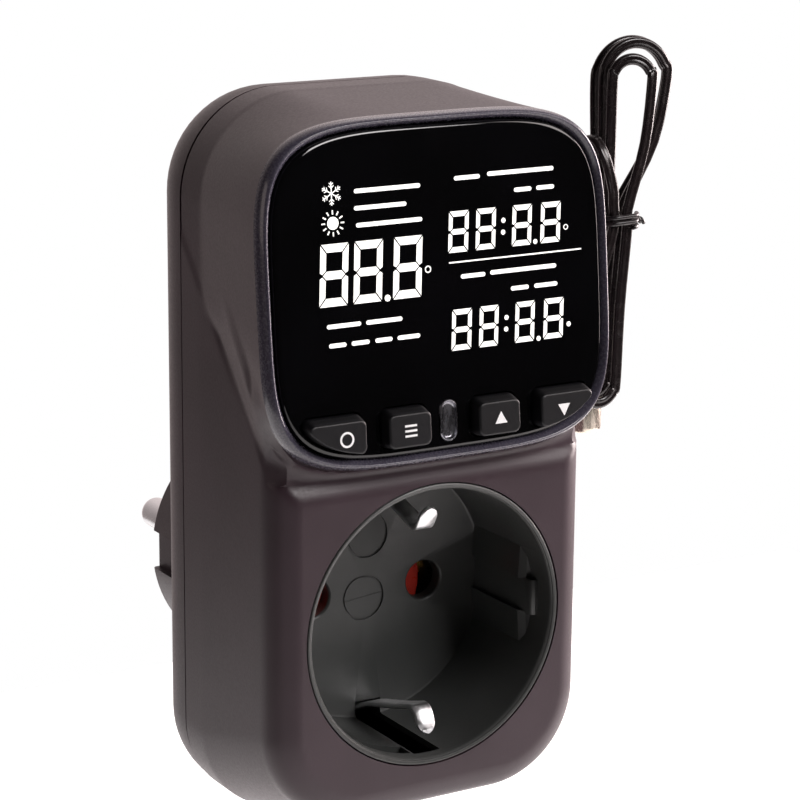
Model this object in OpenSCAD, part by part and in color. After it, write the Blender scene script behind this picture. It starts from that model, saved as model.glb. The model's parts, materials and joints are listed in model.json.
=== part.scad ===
// Plug-in temperature controller: a wall plug body with a switched socket, a tilted display
// head with four keys, and a temperature probe on a thin lead tied in a hank.
// +Z is up, -Y is the front, and the origin is the centre of the plug's end face.

/* [Case] */
// Width of the case at the seam
case_w = 51.4; // [50:0.1:56]
// Height of the case top above the socket axis
case_top = 74; // [70:0.5:84]
// Depth of the case bottom below the socket axis
case_bottom = 32.3; // [31:0.1:38]
// Depth from the socket pad to the back of the case
case_depth = 35.9; // [35.4:0.1:42]
// Distance from the socket pad to the seam between the two halves
seam_depth = 28; // [27:0.1:29]
// Distance from the socket pad to the crease where the straight band starts
band_depth = 22; // [20:0.5:24]
// Wall thickness of the case
wall = 2; // [1.6:0.1:2.2]
// Corner radius of the case at the top
top_corner_r = 15; // [12:0.5:17]
// Corner radius of the case at the bottom
bottom_corner_r = 14; // [12:0.5:16]
// Width of the case where the front fillet starts
front_w = 50.8; // [49:0.1:55]
// Depth of the case bottom below the socket axis where the front fillet starts
front_bottom = 27.6; // [26:0.1:31]
// Open line between the two halves of the case
seam_gap = 0.25; // [0.1:0.05:0.4]
// Fillet radius round the back of the case
back_fillet = 3; // [1:0.5:4]

/* [Socket pad] */
// Width of the pad round the socket
pad_w = 42.7; // [42.3:0.1:45]
// Height of the pad top above the socket axis
pad_top = 21.65; // [21.4:0.05:23]
// Depth of the pad bottom below the socket axis
pad_bottom = 22.9; // [21.4:0.1:25]
// Corner radius of the pad at the bottom
pad_corner_r = 10.5; // [6:0.5:12]
// Step from the pad down to the case front
pad_step = 1.1; // [0.6:0.1:1.4]
// Depth of the fillet between the pad and the case sides
fillet_depth = 4.7; // [3.5:0.1:6]

/* [Socket] */
// Outer radius of the socket rim
rim_r = 20.73; // [20.4:0.01:21]
// Inner radius of the socket recess
well_r = 19.77; // [19.4:0.01:19.9]
// Depth of the socket recess
well_depth = 18.95; // [17.5:0.05:19.2]
// Thickness of the socket floor
floor_t = 2.2; // [1.8:0.1:2.4]
// Distance between the two pins of the plug and of the socket
pin_pitch = 19; // [18.8:0.1:19.2]
// Diameter of the socket's pin holes
pin_hole_d = 5.8; // [5.2:0.1:6]
// Width of the earth strap
earth_w = 4; // [3:0.1:4.4]
// Thickness of the earth strap
earth_t = 0.8; // [0.6:0.1:1]
// Width of the two guide ribs in the recess
guide_w = 5.4; // [4:0.1:6]

/* [Plug] */
// Diameter of the plug body
plug_d = 37.8; // [37:0.1:39]
// Length of the plug body
plug_len = 17.1; // [16:0.1:18]
// Diameter of the plug pins
pin_d = 4.8; // [4.6:0.1:4.9]
// Length of the plug pins beyond the plug face
pin_len = 19; // [18.5:0.1:19.5]

/* [Display head] */
// Backward lean of the display, in degrees
lean = 5.7; // [4.5:0.1:7]
// Distance of the display plane in front of the socket axis
display_reach = 5.93; // [5.5:0.01:7]
// Width of the display bezel
bezel_w = 55.8; // [55:0.1:58]
// Height of the display bezel
bezel_h = 48.2; // [47.6:0.1:50]
// Height of the bezel's centre above the socket axis, along the display
bezel_centre = 48.6; // [48:0.1:50]
// Roundness of the bezel outline, 2 for an ellipse and more for squarer
bezel_round = 4.4; // [4:0.1:6]
// Thickness of the bezel
bezel_t = 2.2; // [1.9:0.1:2.6]
// Width of the bezel's band
bezel_band = 1.55; // [1.2:0.05:1.8]
// Thickness of the display window
window_t = 2; // [1.6:0.1:2.1]
// Height above the socket axis where the head leaves the case sides
head_root = 36; // [32:0.5:40]

/* [Keys] */
// Width of the two middle keys
key_w = 7; // [6:0.1:7.4]
// Width of the two outer keys
wide_key_w = 9; // [8:0.1:9.4]
// Height of the keys
key_h = 5.4; // [4.6:0.1:5.6]
// Distance of the middle keys from the centre
key_at = 7.25; // [7:0.05:7.6]
// Distance of the outer keys from the centre
wide_key_at = 18.5; // [18:0.1:18.8]
// Height of the key row above the socket axis, along the display
key_row = 30.2; // [29.8:0.1:30.4]
// Height of the keys above the bezel
key_proud = 1.8; // [1:0.1:2.2]
// Clearance round a key
key_gap = 0.3; // [0.2:0.05:0.4]
// Travel of a key
key_travel = 0.5; // [0.25:0.05:0.6]
// Width of the indicator lens
lens_w = 2.9; // [2.4:0.1:3.4]
// Height of the indicator lens
lens_h = 5.9; // [5:0.1:6.2]

/* [Display] */
// Width of the liquid crystal panel
lcd_w = 46.8; // [44:0.1:47.4]
// Height of the liquid crystal panel
lcd_h = 27.2; // [25:0.1:27.4]
// Thickness of the liquid crystal panel
lcd_t = 2; // [1.6:0.1:2.2]
// Thickness of the backlight
light_t = 2.6; // [2:0.1:2.8]

/* [Electronics] */
// Thickness of the circuit boards
board_t = 1.6; // [1.2:0.1:1.6]
// Width of the control board
control_w = 45.6; // [44:0.1:46]
// Height of the control board
control_h = 41.8; // [41.2:0.1:42]
// Distance from the display plane to the control board
control_depth = 9.5; // [9.2:0.1:9.7]
// Width of the power board
power_w = 44; // [42:0.5:45]
// Height of the power board
power_h = 37; // [36:0.5:38]
// Distance from the socket pad to the front of the power board
power_depth = 27.2; // [27:0.1:27.4]
// Width of the relay
relay_w = 29; // [28:0.1:29.5]
// Height of the relay across its body
relay_h = 12.7; // [12:0.1:13]
// Depth of the relay from the board
relay_d = 14.6; // [14:0.1:15]

/* [Probe and lead] */
// Diameter of the probe lead
lead_d = 1.7; // [1.4:0.1:1.75]
// Diameter of the steel probe
probe_d = 5; // [4:0.1:5.4]
// Length of the steel probe
probe_len = 20; // [16:0.5:28]
// Loops in the hank
hank_loops = 3; // [3:3]
// Step between neighbouring runs of the hank
hank_pitch = 2.15; // [2.15:0.05:2.3]

/* [Fasteners] */
// Diameter of the case screws
case_screw_d = 2.8; // [2.4:0.1:3]
// Diameter of the case screw heads
case_head_d = 5; // [4.6:0.1:5.2]
// Diameter of the small screws
small_screw_d = 2; // [1.6:0.1:2.2]
// Diameter of the small screw heads
small_head_d = 3.6; // [3:0.1:3.8]

/* [Hidden] */

// Shared clearances and mesh sizes
fit_gap = 0.1;
face_gap = 0.2;
loose_gap = 0.3;
overrun = 1;
corner_steps = 15;
small_steps = 4;
$fn = 48;

// Case sections, from the pad backwards
pad_y = -(case_depth + plug_len);
front_wall = pad_step + 0.65 * wall;
neck_top = pad_top + 4.2 * wall;
neck_corner_r = 1.5 * wall;
fillet_w = (front_w - pad_w) / 2;
fillet_h = front_bottom - pad_bottom;
step_angle = asin(1 - pad_step / fillet_depth);
pad_edge_r = 1.5;
pad_shoulder = 1.3;
head_root_r = 10;
lip_len = 2.5;
lip_t = 1;
screw_sink = 0.4;
boss_r = 3;
boss_len = 12;
boss_angle = 40;
boss_bore_r = case_screw_d / 2 - fit_gap;
screw_head_t = 1.6;
head_seat = seam_depth + screw_head_t + wall;
screw_bite = 8;
boss_points = [
    for (side = [-1, 1], end = [-1, 1])
        let (r = (end > 0 ? top_corner_r : bottom_corner_r),
            reach = r - wall - boss_r + screw_sink,
            edge = (end > 0 ? case_top : case_bottom))
        [side * (case_w / 2 - r + reach * cos(boss_angle)),
            end * (edge - r + reach * sin(boss_angle))]
];

// Display stack, measured back from the display plane
head_front = bezel_t;
head_back = head_front + wall;
window_front = bezel_t - window_t;
window_margin = bezel_band + fit_gap;
bezel_chamfer = 0.7;
lcd_front = head_front + face_gap;
lcd_back = lcd_front + lcd_t;
lcd_rise = 3;
lcd_centre = bezel_centre + lcd_rise;
light_front = lcd_back + fit_gap;
light_back = light_front + light_t;
light_inset = 3;
light_leg_r = 0.8;
control_back = control_depth + board_t;
control_drop = 21.1;
control_bottom = bezel_centre - control_drop;
control_corner_r = 9;
key_back = head_back + face_gap;
flange_t = 1;
flange_w = 0.5;
flange_back = key_back + flange_t;
key_margin = bezel_band + 1;
key_corner_r = 1;
key_room_w = 2 * (wide_key_at + flange_w + loose_gap) + wide_key_w;
key_room_low = key_row - key_h / 2 - flange_w - loose_gap;
key_room_h = 12;
tact_size = 4.2;
wide_tact_inset = 1.5;
wide_tact_at = wide_key_at - wide_tact_inset;
tact_front = flange_back + key_travel + face_gap;
tact_sink = 0.3;
plunger_r = 1.2;
post_r = 1.7;
pilot_r = small_screw_d / 2 - fit_gap;
post_low = [20.2, -13.3];
post_high = [16, 18.6];
small_head_t = 1.2;
key_room_back = control_back + small_head_t + loose_gap;
chip_size = 10;
chip_t = 1.2;
chip_at = [-6, -10];
led_r = 1.2;

// Socket and plug stack, measured back from the pad
floor_back = well_depth + floor_t;
shutter_t = 1.8;
shutter_front = floor_back + fit_gap;
shutter_back = shutter_front + shutter_t;
shutter_end = 10;
shutter_half_h = 3.3;
plate_t = 1.6;
plate_r = 16.6;
plate_front = shutter_back + fit_gap;
plate_back = plate_front + plate_t;
block_t = 7.2;
block_w = 33;
block_h = 20;
block_corner_r = 3;
block_back = plate_back + block_t;
block_screw = [13.4, 7.2];
strap_back = block_back + earth_t;
pin_x = pin_pitch / 2;
hole_chamfer = 0.3;
hub_r = 1.6;
hub_gap = 0.05;
spring_room_r = 2.8;
spring_room = 1.1;
spring_r = 2.25;
spring_wire_r = 0.2;
spring_turns = 1.5;
contact_wall = 0.8;
contact_bore_r = 2.46;
contact_r = contact_bore_r + contact_wall;
contact_slit = 1;
tab_w = 3;
tab_len = 1.6;
rim_gap = 0.17;
guide_proud = 1.2;
guide_start = 3.5;
lug_at = 24.4;
lug_r = 2.6;
lug_t = 1.5;
lug_front = 6.1;
slot_gap = 0.15;
strap_z = 18.3;
groove_gap = 0.2;
plug_side_t = 3.2;
plug_bore_r = plug_d / 2 - plug_side_t;
plug_end = case_depth + plug_len;
plug_wall = 2;
plug_inner = plug_end - plug_wall;
guide_notch = 1.4;
pin_flange_r = 3.3;
pin_flange_t = 1.7;
pin_seat = plug_inner - pin_flange_t;
pin_root_r = 2.1;
pin_tail_r = 2;
pin_tail = 5.2;
pin_tip = 0.9;
retainer_t = 2.4;
retainer_front = pin_seat - retainer_t;
retainer_screw_z = 10.6;
screw_post_r = 2.2;

// Power board
power_bottom = 23.6;
power_back = power_depth + board_t;
power_post_x = 16;
power_post_inset = 2.8;
relay_rise = 26.6;
link_w = 20;
link_t = 2.4;
link_rise = 35.2;
link_front = 11.35;
capacitor_size = [17, 9, 13];
capacitor_at = [-12.5, 11.4];
can_r = 4.8;
can_len = 13;
can_at = [5.6, 11.6];
fuse_r = 4;
fuse_len = 7.7;
fuse_at = [15.6, 15.6];
varistor_r = 4;
varistor_t = 3;
varistor_at = [15.6, 8.6];
wire_r = 0.9;

// Probe and lead
exit_y = 15;
exit_z = 60;
collar_proud = 1.25;
collar_x = case_w / 2 + collar_proud;
exit_reach = 3.45;
exit_x = collar_x + exit_reach;
collar_t = 0.8;
collar_r = 2.9;
grommet_r = 2;
grommet_tip_r = 1.3;
grommet_flange_inset = 1.9;
grommet_flange_x = case_w / 2 - grommet_flange_inset;
grommet_flange_t = 1.2;
lead_sides = 8;
sensor_route = [
    [30.5, 15, 60], [31.8, 15, 60.1], [32.9, 14.8, 61.1], [33.2, 14.4, 62.8], [33, 13.6, 64.4],
    [32.9, 12.4, 65.4], [32.9, 11, 65.6], [33, 9.7, 64.8], [33.4, 8.7, 63], [34, 8.3, 60.6],
    [34.6, 8.3, 58.4], [34.75, 8.3, 57.2], [34.75, 8.3, 56.3]
];
probe_route = [
    [36.55, 14.75, 51.1], [36.55, 14.75, 50.4], [36.6, 15.2, 49.4], [36.75, 16.1, 48.3],
    [36.85, 16.95, 47.3], [36.9, 17.4, 46.5], [36.9, 17.4, 45.9]
];

// The hank: loops drawn in at the tie, one layer behind the other
hank_rings = 24;
hank_sides = 6;
hank_front = 8.3;
hank_lead_in = 2.5;
tie_z = 53.7;
tie_hold = 1.5;
waist_x = 34.75;
waist_w = 2.55;
layer_shift = 0.6;
low_x = 30;
low_w = 6;
low_z = 26.6;
low_rise = 0.4;
top_x = 35.5;
top_w = 11.4;
top_z = 79;
top_w_shares = [0.51, 0.88, 1];
top_drop_shares = [0.18, 0, 0];
tie_r = 0.4;
tie_steps = 4;
tie_pitch = 0.85;
knot_r = 0.75;
probe_x = 36.9;
probe_y = 17.4;
sleeve_top = 45.8;
sleeve_len = 6;
probe_top = sleeve_top - sleeve_len;
probe_bottom = probe_top - probe_len;

// Shared shapes

// Places its children with the socket pad at y = 0
module at_pad() {
    translate([0, pad_y, 0]) children();
}

// Turns the display plane to y = 0, x across and z up the display
module lean_back() {
    rotate([-lean, 0, 0]) translate([0, -display_reach, 0]) children();
}

// Places its children on the display, wherever the pad is
module at_display() {
    at_pad() lean_back() children();
}

// A flat outline in x and z, from y0 back to y1
module slab(y0, y1) {
    translate([0, y1, 0]) rotate([90, 0, 0]) linear_extrude(y1 - y0) children();
}

// A round bar along y at x and z
module rod(x, z, r, y0, y1) {
    translate([x, y1, z]) rotate([90, 0, 0]) cylinder(h = y1 - y0, r = r);
}

// A bar centred on x and z
module block(x, z, w, h, y0, y1) {
    translate([x - w / 2, y0, z - h / 2]) cube([w, y1 - y0, h]);
}

// A quarter of a round corner
function corner(cx, cz, r, from, steps) = [
    for (i = [0 : steps])
        let (a = from + 90 * i / steps) [cx + r * cos(a), cz + r * sin(a)]
];

// An outline with one radius at its top corners and another at its bottom corners
function rounded(half_w, low, high, r_low, r_high, steps = corner_steps) = concat(
    corner(half_w - r_high, high - r_high, r_high, 0, steps),
    corner(-half_w + r_high, high - r_high, r_high, 90, steps),
    corner(-half_w + r_low, low + r_low, r_low, 180, steps),
    corner(half_w - r_low, low + r_low, r_low, 270, steps)
);

// A squircle round [0, cz], with as many points as a rounded outline
function squircle(a, b, cz) = [
    for (i = [0 : 4 * corner_steps + 3])
        let (t = 90 * (i + 0.5) / (corner_steps + 1), c = cos(t), s = sin(t))
        [a * sign(c) * pow(abs(c), 2 / bezel_round),
            cz + b * sign(s) * pow(abs(s), 2 / bezel_round)]
];

// An outline as a ring of points, upright at y or on the leaning display
function ring_at(y, outline) = [for (p = outline) [p[0], y, p[1]]];
function leaned(depth, outline) = [
    for (p = outline)
        let (y = depth - display_reach)
        [p[0], y * cos(lean) + p[1] * sin(lean), p[1] * cos(lean) - y * sin(lean)]
];

// A closed skin over rings of points, each ring with as many sides
module skin(points, sides) {
    last = len(points) / sides - 1;
    walls = [
        for (i = [0 : last - 1], j = [0 : sides - 1], half = [0, 1])
            let (k = (j + 1) % sides, a = i * sides, b = a + sides)
            half == 0 ? [a + j, b + j, b + k] : [a + j, b + k, a + k]
    ];
    start = [for (j = [1 : sides - 2]) [0, j, j + 1]];
    end = [for (j = [1 : sides - 2]) [last * sides, last * sides + j + 1, last * sides + j]];
    polyhedron(points = points, faces = concat(walls, start, end));
}

// A solid through rings, from the back one to the front one
module loft(rings) {
    skin([for (r = rings) each r], len(rings[0]));
}

// The case outline at the seam, drawn in by an inset
function case_outline(inset) = rounded(
    case_w / 2 - inset, -case_bottom + inset, case_top - inset,
    bottom_corner_r - inset, top_corner_r - inset
);

// The display outline, drawn in by an inset
function display_outline(inset) = squircle(
    bezel_w / 2 - inset, bezel_h / 2 - inset, bezel_centre
);

// Unit vectors and tubes along points
function unit(v) = v / norm(v);
function tangents(p) = [
    for (i = [0 : len(p) - 1])
        unit(p[min(i + 1, len(p) - 1)] - p[max(i - 1, 0)])
];
function carried(t, i, normal) = i >= len(t) ? [] :
    let (n = unit(normal - (normal * t[i]) * t[i])) concat([n], carried(t, i + 1, n));

// One tube through the points, with one ring at each
module tube(points, r, sides, normal) {
    t = tangents(points);
    n = carried(t, 0, normal);
    skin([
        for (i = [0 : len(points) - 1], j = [0 : sides - 1])
            let (a = 360 * j / sides)
            points[i] + r * (cos(a) * n[i] + sin(a) * cross(t[i], n[i]))
    ], sides);
}

// Case

// A ring round the fillet between the pad and the case sides, drawn in by an inset
function fillet_ring(turn, high, r_high, inset = 0, sink = 0) =
    let (half_w = pad_w / 2 + fillet_w * cos(turn), low = pad_bottom + fillet_h * cos(turn),
        r_low = pad_corner_r + (bottom_corner_r - pad_corner_r) * cos(turn))
    ring_at(fillet_depth * (1 - sin(turn)) + sink, rounded(half_w - inset, inset - low,
        high - inset, r_low - inset, r_high));

module case_form() {
    loft(concat(
        [ring_at(seam_depth - seam_gap, case_outline(0)), ring_at(band_depth, case_outline(0))],
        [for (i = [0 : 4]) fillet_ring(step_angle * i / 4, neck_top, neck_corner_r)]
    ));
}

module pad_form() {
    steps = 3;
    loft(concat(
        [fillet_ring(step_angle, pad_top + pad_shoulder, pad_edge_r, pad_step, pad_step / 2)],
        [
            for (i = [0 : steps])
                let (turn = step_angle + (90 - step_angle) * i / steps,
                    rise = pad_shoulder * cos(turn) / cos(step_angle))
                fillet_ring(turn, pad_top + rise, pad_edge_r)
        ]
    ));
}

module head_form() {
    loft([
        ring_at(band_depth, rounded(case_w / 2, head_root, case_top, head_root_r,
            top_corner_r)),
        leaned(head_front, display_outline(0))
    ]);
}

module case_hollow() {
    loft([
        ring_at(seam_depth + overrun, case_outline(wall)),
        ring_at(band_depth, case_outline(wall)),
        ring_at(fillet_depth, rounded(front_w / 2 - wall, wall - front_bottom,
            neck_top - wall, bottom_corner_r - wall, neck_corner_r)),
        ring_at(front_wall, rounded(pad_w / 2, -pad_bottom, neck_top - wall, pad_corner_r,
            neck_corner_r))
    ]);
}

module head_hollow() {
    loft([
        ring_at(band_depth, rounded(case_w / 2 - wall, head_root + wall, case_top - wall,
            head_root_r - wall, top_corner_r - wall)),
        leaned(head_back, display_outline(wall))
    ]);
}

module at_keys() {
    for (x = [-wide_key_at, wide_key_at]) key_form(x, wide_key_w, key_gap);
    for (x = [-key_at, key_at]) key_form(x, key_w, key_gap);
}

// A key's outline, held inside the window's edge and grown by a margin
module key_form(x, w, grow) {
    intersection() {
        translate([x, 0]) polygon(rounded(w / 2 + grow, key_row - key_h / 2 - grow,
            key_row + key_h / 2 + grow, key_corner_r, key_corner_r, small_steps));
        polygon(display_outline(key_margin - min(grow, key_gap)));
    }
}

// The room behind the keys, down to the lower edge of their flanges
module key_room() {
    intersection() {
        polygon(display_outline(wall));
        translate([-key_room_w / 2, key_room_low]) square([key_room_w, key_room_h]);
    }
}

module lens_form(grow) {
    r = lens_w / 2 + grow;
    straight = lens_h - lens_w;
    for (end = [-1, 1]) translate([0, key_row + end * straight / 2]) circle(r = r);
    translate([-r, key_row - straight / 2]) square([2 * r, straight]);
}

module well_lug_points() {
    for (a = [45 : 90 : 315]) rotate([0, a, 0]) children();
}

module front_shell() {
    color("#4a4046") at_pad() {
        difference() {
            union() {
                case_form();
                pad_form();
                head_form();
            }
            difference() {
                union() {
                    case_hollow();
                    head_hollow();
                    lean_back() slab(head_back + fit_gap, key_room_back) key_room();
                }
                well_lug_points() rod(lug_at, 0, lug_r, 0, lug_front);
                for (p = boss_points)
                    rod(p[0], p[1], boss_r, seam_depth - boss_len, seam_depth + overrun);
                lean_back() for (side = [-1, 1], p = [post_low, post_high])
                    rod(side * p[0], bezel_centre + p[1], post_r, head_front, control_depth);
            }
            translate([0, seam_depth - seam_gap, 0])
                block(0, 0, 2 * case_w, 4 * case_top, 0, 2 * overrun);
            rod(0, 0, rim_r + rim_gap, -overrun, lug_front);
            well_lug_points() rod(lug_at, 0, pilot_r, front_wall, lug_front + overrun);
            for (p = boss_points)
                rod(p[0], p[1], boss_bore_r, seam_depth - boss_len + wall, seam_depth);
            lean_back() {
                slab(head_front - overrun, key_back) at_keys();
                slab(head_front - overrun, key_back) lens_form(fit_gap);
                block(0, lcd_centre, lcd_w + 2 * face_gap, lcd_h + 2 * face_gap,
                    head_front - overrun, key_back);
                for (side = [-1, 1], p = [post_low, post_high])
                    rod(side * p[0], bezel_centre + p[1], pilot_r, head_back, control_depth + overrun);
            }
            translate([case_w / 2 - 2 * wall, exit_y, exit_z]) rotate([0, 90, 0])
                cylinder(h = 4 * wall, r = grommet_r + fit_gap);
        }
    }
}

// The rear cover's form from one depth to its rounded back, drawn in by an inset
module rear_form(inset, from, back) {
    steps = 4;
    loft(concat(
        [
            for (i = [steps : -1 : 0])
                let (turn = 90 * i / steps, drawn = back_fillet * (1 - cos(turn)))
                ring_at(back - back_fillet * (1 - sin(turn)), case_outline(inset + drawn))
        ],
        [ring_at(from, case_outline(inset))]
    ));
}

// The rim of the rear cover that slides into the front shell
module cover_lip() {
    difference() {
        union() {
            slab(seam_depth - lip_len, seam_depth + lip_t)
                polygon(case_outline(wall + fit_gap));
            slab(seam_depth, seam_depth + lip_t) polygon(case_outline(wall / 2));
        }
        slab(seam_depth - lip_len - overrun, seam_depth + lip_t + overrun)
            polygon(case_outline(wall + fit_gap + lip_t));
        for (p = boss_points)
            rod(p[0], p[1], boss_r + loose_gap, 0, seam_depth - seam_gap);
    }
}

module rear_cover() {
    inner_back = case_depth - wall + fit_gap;
    groove_t = earth_t + groove_gap;
    color("#433a40") at_pad() difference() {
        union() {
            difference() {
                rear_form(0, seam_depth, case_depth);
                rear_form(wall, seam_depth - overrun, case_depth - wall);
                rod(0, 0, plug_bore_r, case_depth - wall - overrun, case_depth + overrun);
            }
            difference() {
                rod(0, 0, plug_d / 2, case_depth - wall / 2, plug_end);
                rod(0, 0, plug_bore_r, case_depth - wall, plug_inner);
                for (end = [-1, 1])
                    block(end * plug_d / 2, 0, 2 * guide_notch, guide_w + 2 * loose_gap,
                        case_depth + wall / 2, plug_end + overrun);
            }
            cover_lip();
            for (p = boss_points) rod(p[0], p[1], boss_r, seam_depth - seam_gap, inner_back);
            power_posts() rod(0, 0, screw_post_r, power_back, inner_back);
            for (end = [-1, 1])
                rod(0, end * retainer_screw_z, screw_post_r, pin_seat, plug_inner + fit_gap);
        }
        for (p = boss_points) {
            rod(p[0], p[1], case_screw_d / 2 + fit_gap, 0, head_seat + overrun);
            rod(p[0], p[1], case_head_d / 2 + face_gap, head_seat, case_depth + overrun);
        }
        power_posts() rod(0, 0, pilot_r, power_back - overrun, case_depth - wall);
        for (end = [-1, 1]) {
            rod(0, end * retainer_screw_z, pilot_r, pin_seat - overrun, plug_inner + wall / 2);
            block(0, end * (plug_d / 2 - earth_t + groove_t / 2), earth_w + 2 * slot_gap, groove_t,
                case_depth - wall - overrun, plug_inner);
        }
        for (x = [-pin_x, pin_x])
            rod(x, 0, pin_d / 2 + fit_gap, plug_inner - overrun, plug_end + overrun);
    }
}

module case_screws() {
    color("#8f9194") at_pad() for (p = boss_points) {
        rod(p[0], p[1], case_screw_d / 2 - fit_gap - hub_gap, head_seat - screw_bite - wall,
            head_seat + fit_gap);
        difference() {
            rod(p[0], p[1], case_head_d / 2, head_seat, head_seat + screw_head_t);
            for (turn = [0, 90]) translate([p[0], 0, p[1]]) rotate([0, turn, 0])
                block(0, 0, case_head_d / 2, case_head_d / 8, head_seat + screw_head_t / 2,
                    head_seat + 2 * screw_head_t);
        }
    }
}

// Display head

module display_bezel() {
    color("#6e6a80") at_display() difference() {
        loft([
            ring_at(bezel_t, display_outline(0)),
            ring_at(bezel_t / 2, display_outline(bezel_chamfer / 4)),
            ring_at(0, display_outline(bezel_chamfer))
        ]);
        slab(-overrun, bezel_t + overrun) polygon(display_outline(bezel_band));
    }
}

module display_window() {
    color("#0c0b10") at_display() slab(window_front, head_front) difference() {
        polygon(display_outline(window_margin));
        at_keys();
        lens_form(fit_gap);
    }
}

module lcd_panel() {
    color("#1a1c22") at_display() block(0, lcd_centre, lcd_w, lcd_h, lcd_front, lcd_back);
}

module lcd_backlight() {
    color("#e8e8e4") at_display() {
        light_w = lcd_w - light_inset;
        light_h = lcd_h - 2 * light_inset;
        block(0, lcd_centre, light_w, light_h, light_front, light_back);
        for (side = [-1, 1], end = [-1, 1])
            rod(side * (light_w / 2 - light_inset), lcd_centre + end * (light_h / 2 - light_inset),
                light_leg_r, light_back - fit_gap, control_depth);
    }
}

module lcd_connector() {
    color("#c9b8a8") at_display()
        block(0, lcd_centre - lcd_h / 2 + light_inset / 2, lcd_w - 2 * light_inset,
            light_inset - 2 * loose_gap, lcd_back, control_depth);
}

module indicator_lens() {
    color("#3a3a44") at_display() {
        slab(window_front, key_back + fit_gap) lens_form(0);
        slab(key_back, flange_back) lens_form(flange_w);
    }
}

module indicator_led() {
    color("#b8322a") at_display() {
        rod(0, key_row, led_r, flange_back + loose_gap, control_depth);
        rod(0, key_row, led_r + fit_gap, control_depth - board_t / 2, control_depth);
    }
}

module key(x, w) {
    color("#26232d") at_display() {
        slab(-key_proud, key_back + fit_gap) key_form(x, w, 0);
        slab(key_back, flange_back) key_form(x, w, flange_w);
    }
}

module plunger(x) {
    color("#d8d6d0") at_display()
        rod(x, key_row, plunger_r, flange_back, tact_front + tact_sink);
}

module set_key() { key(-wide_key_at, wide_key_w); }
module function_key() { key(-key_at, key_w); }
module up_key() { key(key_at, key_w); }
module down_key() { key(wide_key_at, wide_key_w); }
module set_plunger() { plunger(-wide_tact_at); }
module function_plunger() { plunger(-key_at); }
module up_plunger() { plunger(key_at); }
module down_plunger() { plunger(wide_tact_at); }

module tact_switches() {
    color("#1e1e20") at_display() for (x = [-wide_tact_at, -key_at, key_at, wide_tact_at])
        difference() {
            block(x, key_row, tact_size, tact_size, tact_front, control_depth);
            rod(x, key_row, plunger_r + fit_gap, tact_front - overrun,
                tact_front + tact_sink + key_travel + face_gap);
        }
}

module control_board() {
    color("#1f5c3a") at_display() difference() {
        slab(control_depth, control_back) polygon(rounded(control_w / 2, control_bottom,
            control_bottom + control_h, control_corner_r, control_corner_r));
        for (side = [-1, 1], p = [post_low, post_high])
            rod(side * p[0], bezel_centre + p[1], small_screw_d / 2 + fit_gap,
                control_depth - overrun, control_back + overrun);
    }
}

module control_chip() {
    color("#17171a") at_display()
        block(chip_at[0], bezel_centre + chip_at[1], chip_size, chip_size, control_back,
            control_back + chip_t);
}

// A small pan-head screw along y whose head lies on y0, in front of it or behind it
module small_screw(x, z, y0, reach, ahead) {
    shank_r = small_screw_d / 2 - fit_gap - hub_gap;
    rod(x, z, shank_r, (ahead > 0 ? y0 - fit_gap : y0 - reach), (ahead > 0 ? y0 + reach : y0 + fit_gap));
    head = (ahead > 0 ? y0 - small_head_t : y0);
    rod(x, z, small_head_d / 2, head, head + small_head_t);
}

module control_screws() {
    color("#a8a9ab") at_display() for (side = [-1, 1], p = [post_low, post_high])
        small_screw(side * p[0], bezel_centre + p[1], control_back, board_t + 2 * wall, 0);
}

// Power board

module power_posts() {
    for (side = [-1, 1], z = [power_bottom + power_post_inset,
            power_bottom + power_h - power_post_inset])
        translate([side * power_post_x, 0, z]) children();
}

module power_board() {
    color("#2a6a44") at_pad() difference() {
        block(0, power_bottom + power_h / 2, power_w, power_h, power_depth, power_back);
        power_posts() rod(0, 0, small_screw_d / 2 + fit_gap, 0, power_back + overrun);
    }
}

module relay() {
    color("#2f6fb0") at_pad()
        block(0, power_bottom + relay_rise, relay_w, relay_h, power_depth - relay_d, power_depth);
}

module mains_capacitor() {
    color("#c8a640") at_pad()
        block(capacitor_at[0], power_bottom + capacitor_at[1], capacitor_size[0],
            capacitor_size[1], power_depth - capacitor_size[2], power_depth);
}

module smoothing_capacitor() {
    color("#26303c") at_pad()
        rod(can_at[0], power_bottom + can_at[1], can_r, power_depth - can_len, power_depth);
}

module fuse() {
    color("#7a2a22") at_pad()
        rod(fuse_at[0], power_bottom + fuse_at[1], fuse_r, power_depth - fuse_len, power_depth);
}

module varistor() {
    color("#2a4fa0") at_pad()
        translate([varistor_at[0], power_depth - varistor_r, power_bottom + varistor_at[1]])
            cylinder(h = varistor_t, r = varistor_r, center = true);
}

module board_link() {
    color("#d8d4c8") at_pad()
        block(0, power_bottom + link_rise, link_w, link_t, link_front, power_depth);
}

module power_screws() {
    color("#a8a9ab") at_pad() power_posts()
        small_screw(0, 0, power_depth, board_t + 1.5 * wall, 1);
}

// Socket

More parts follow.
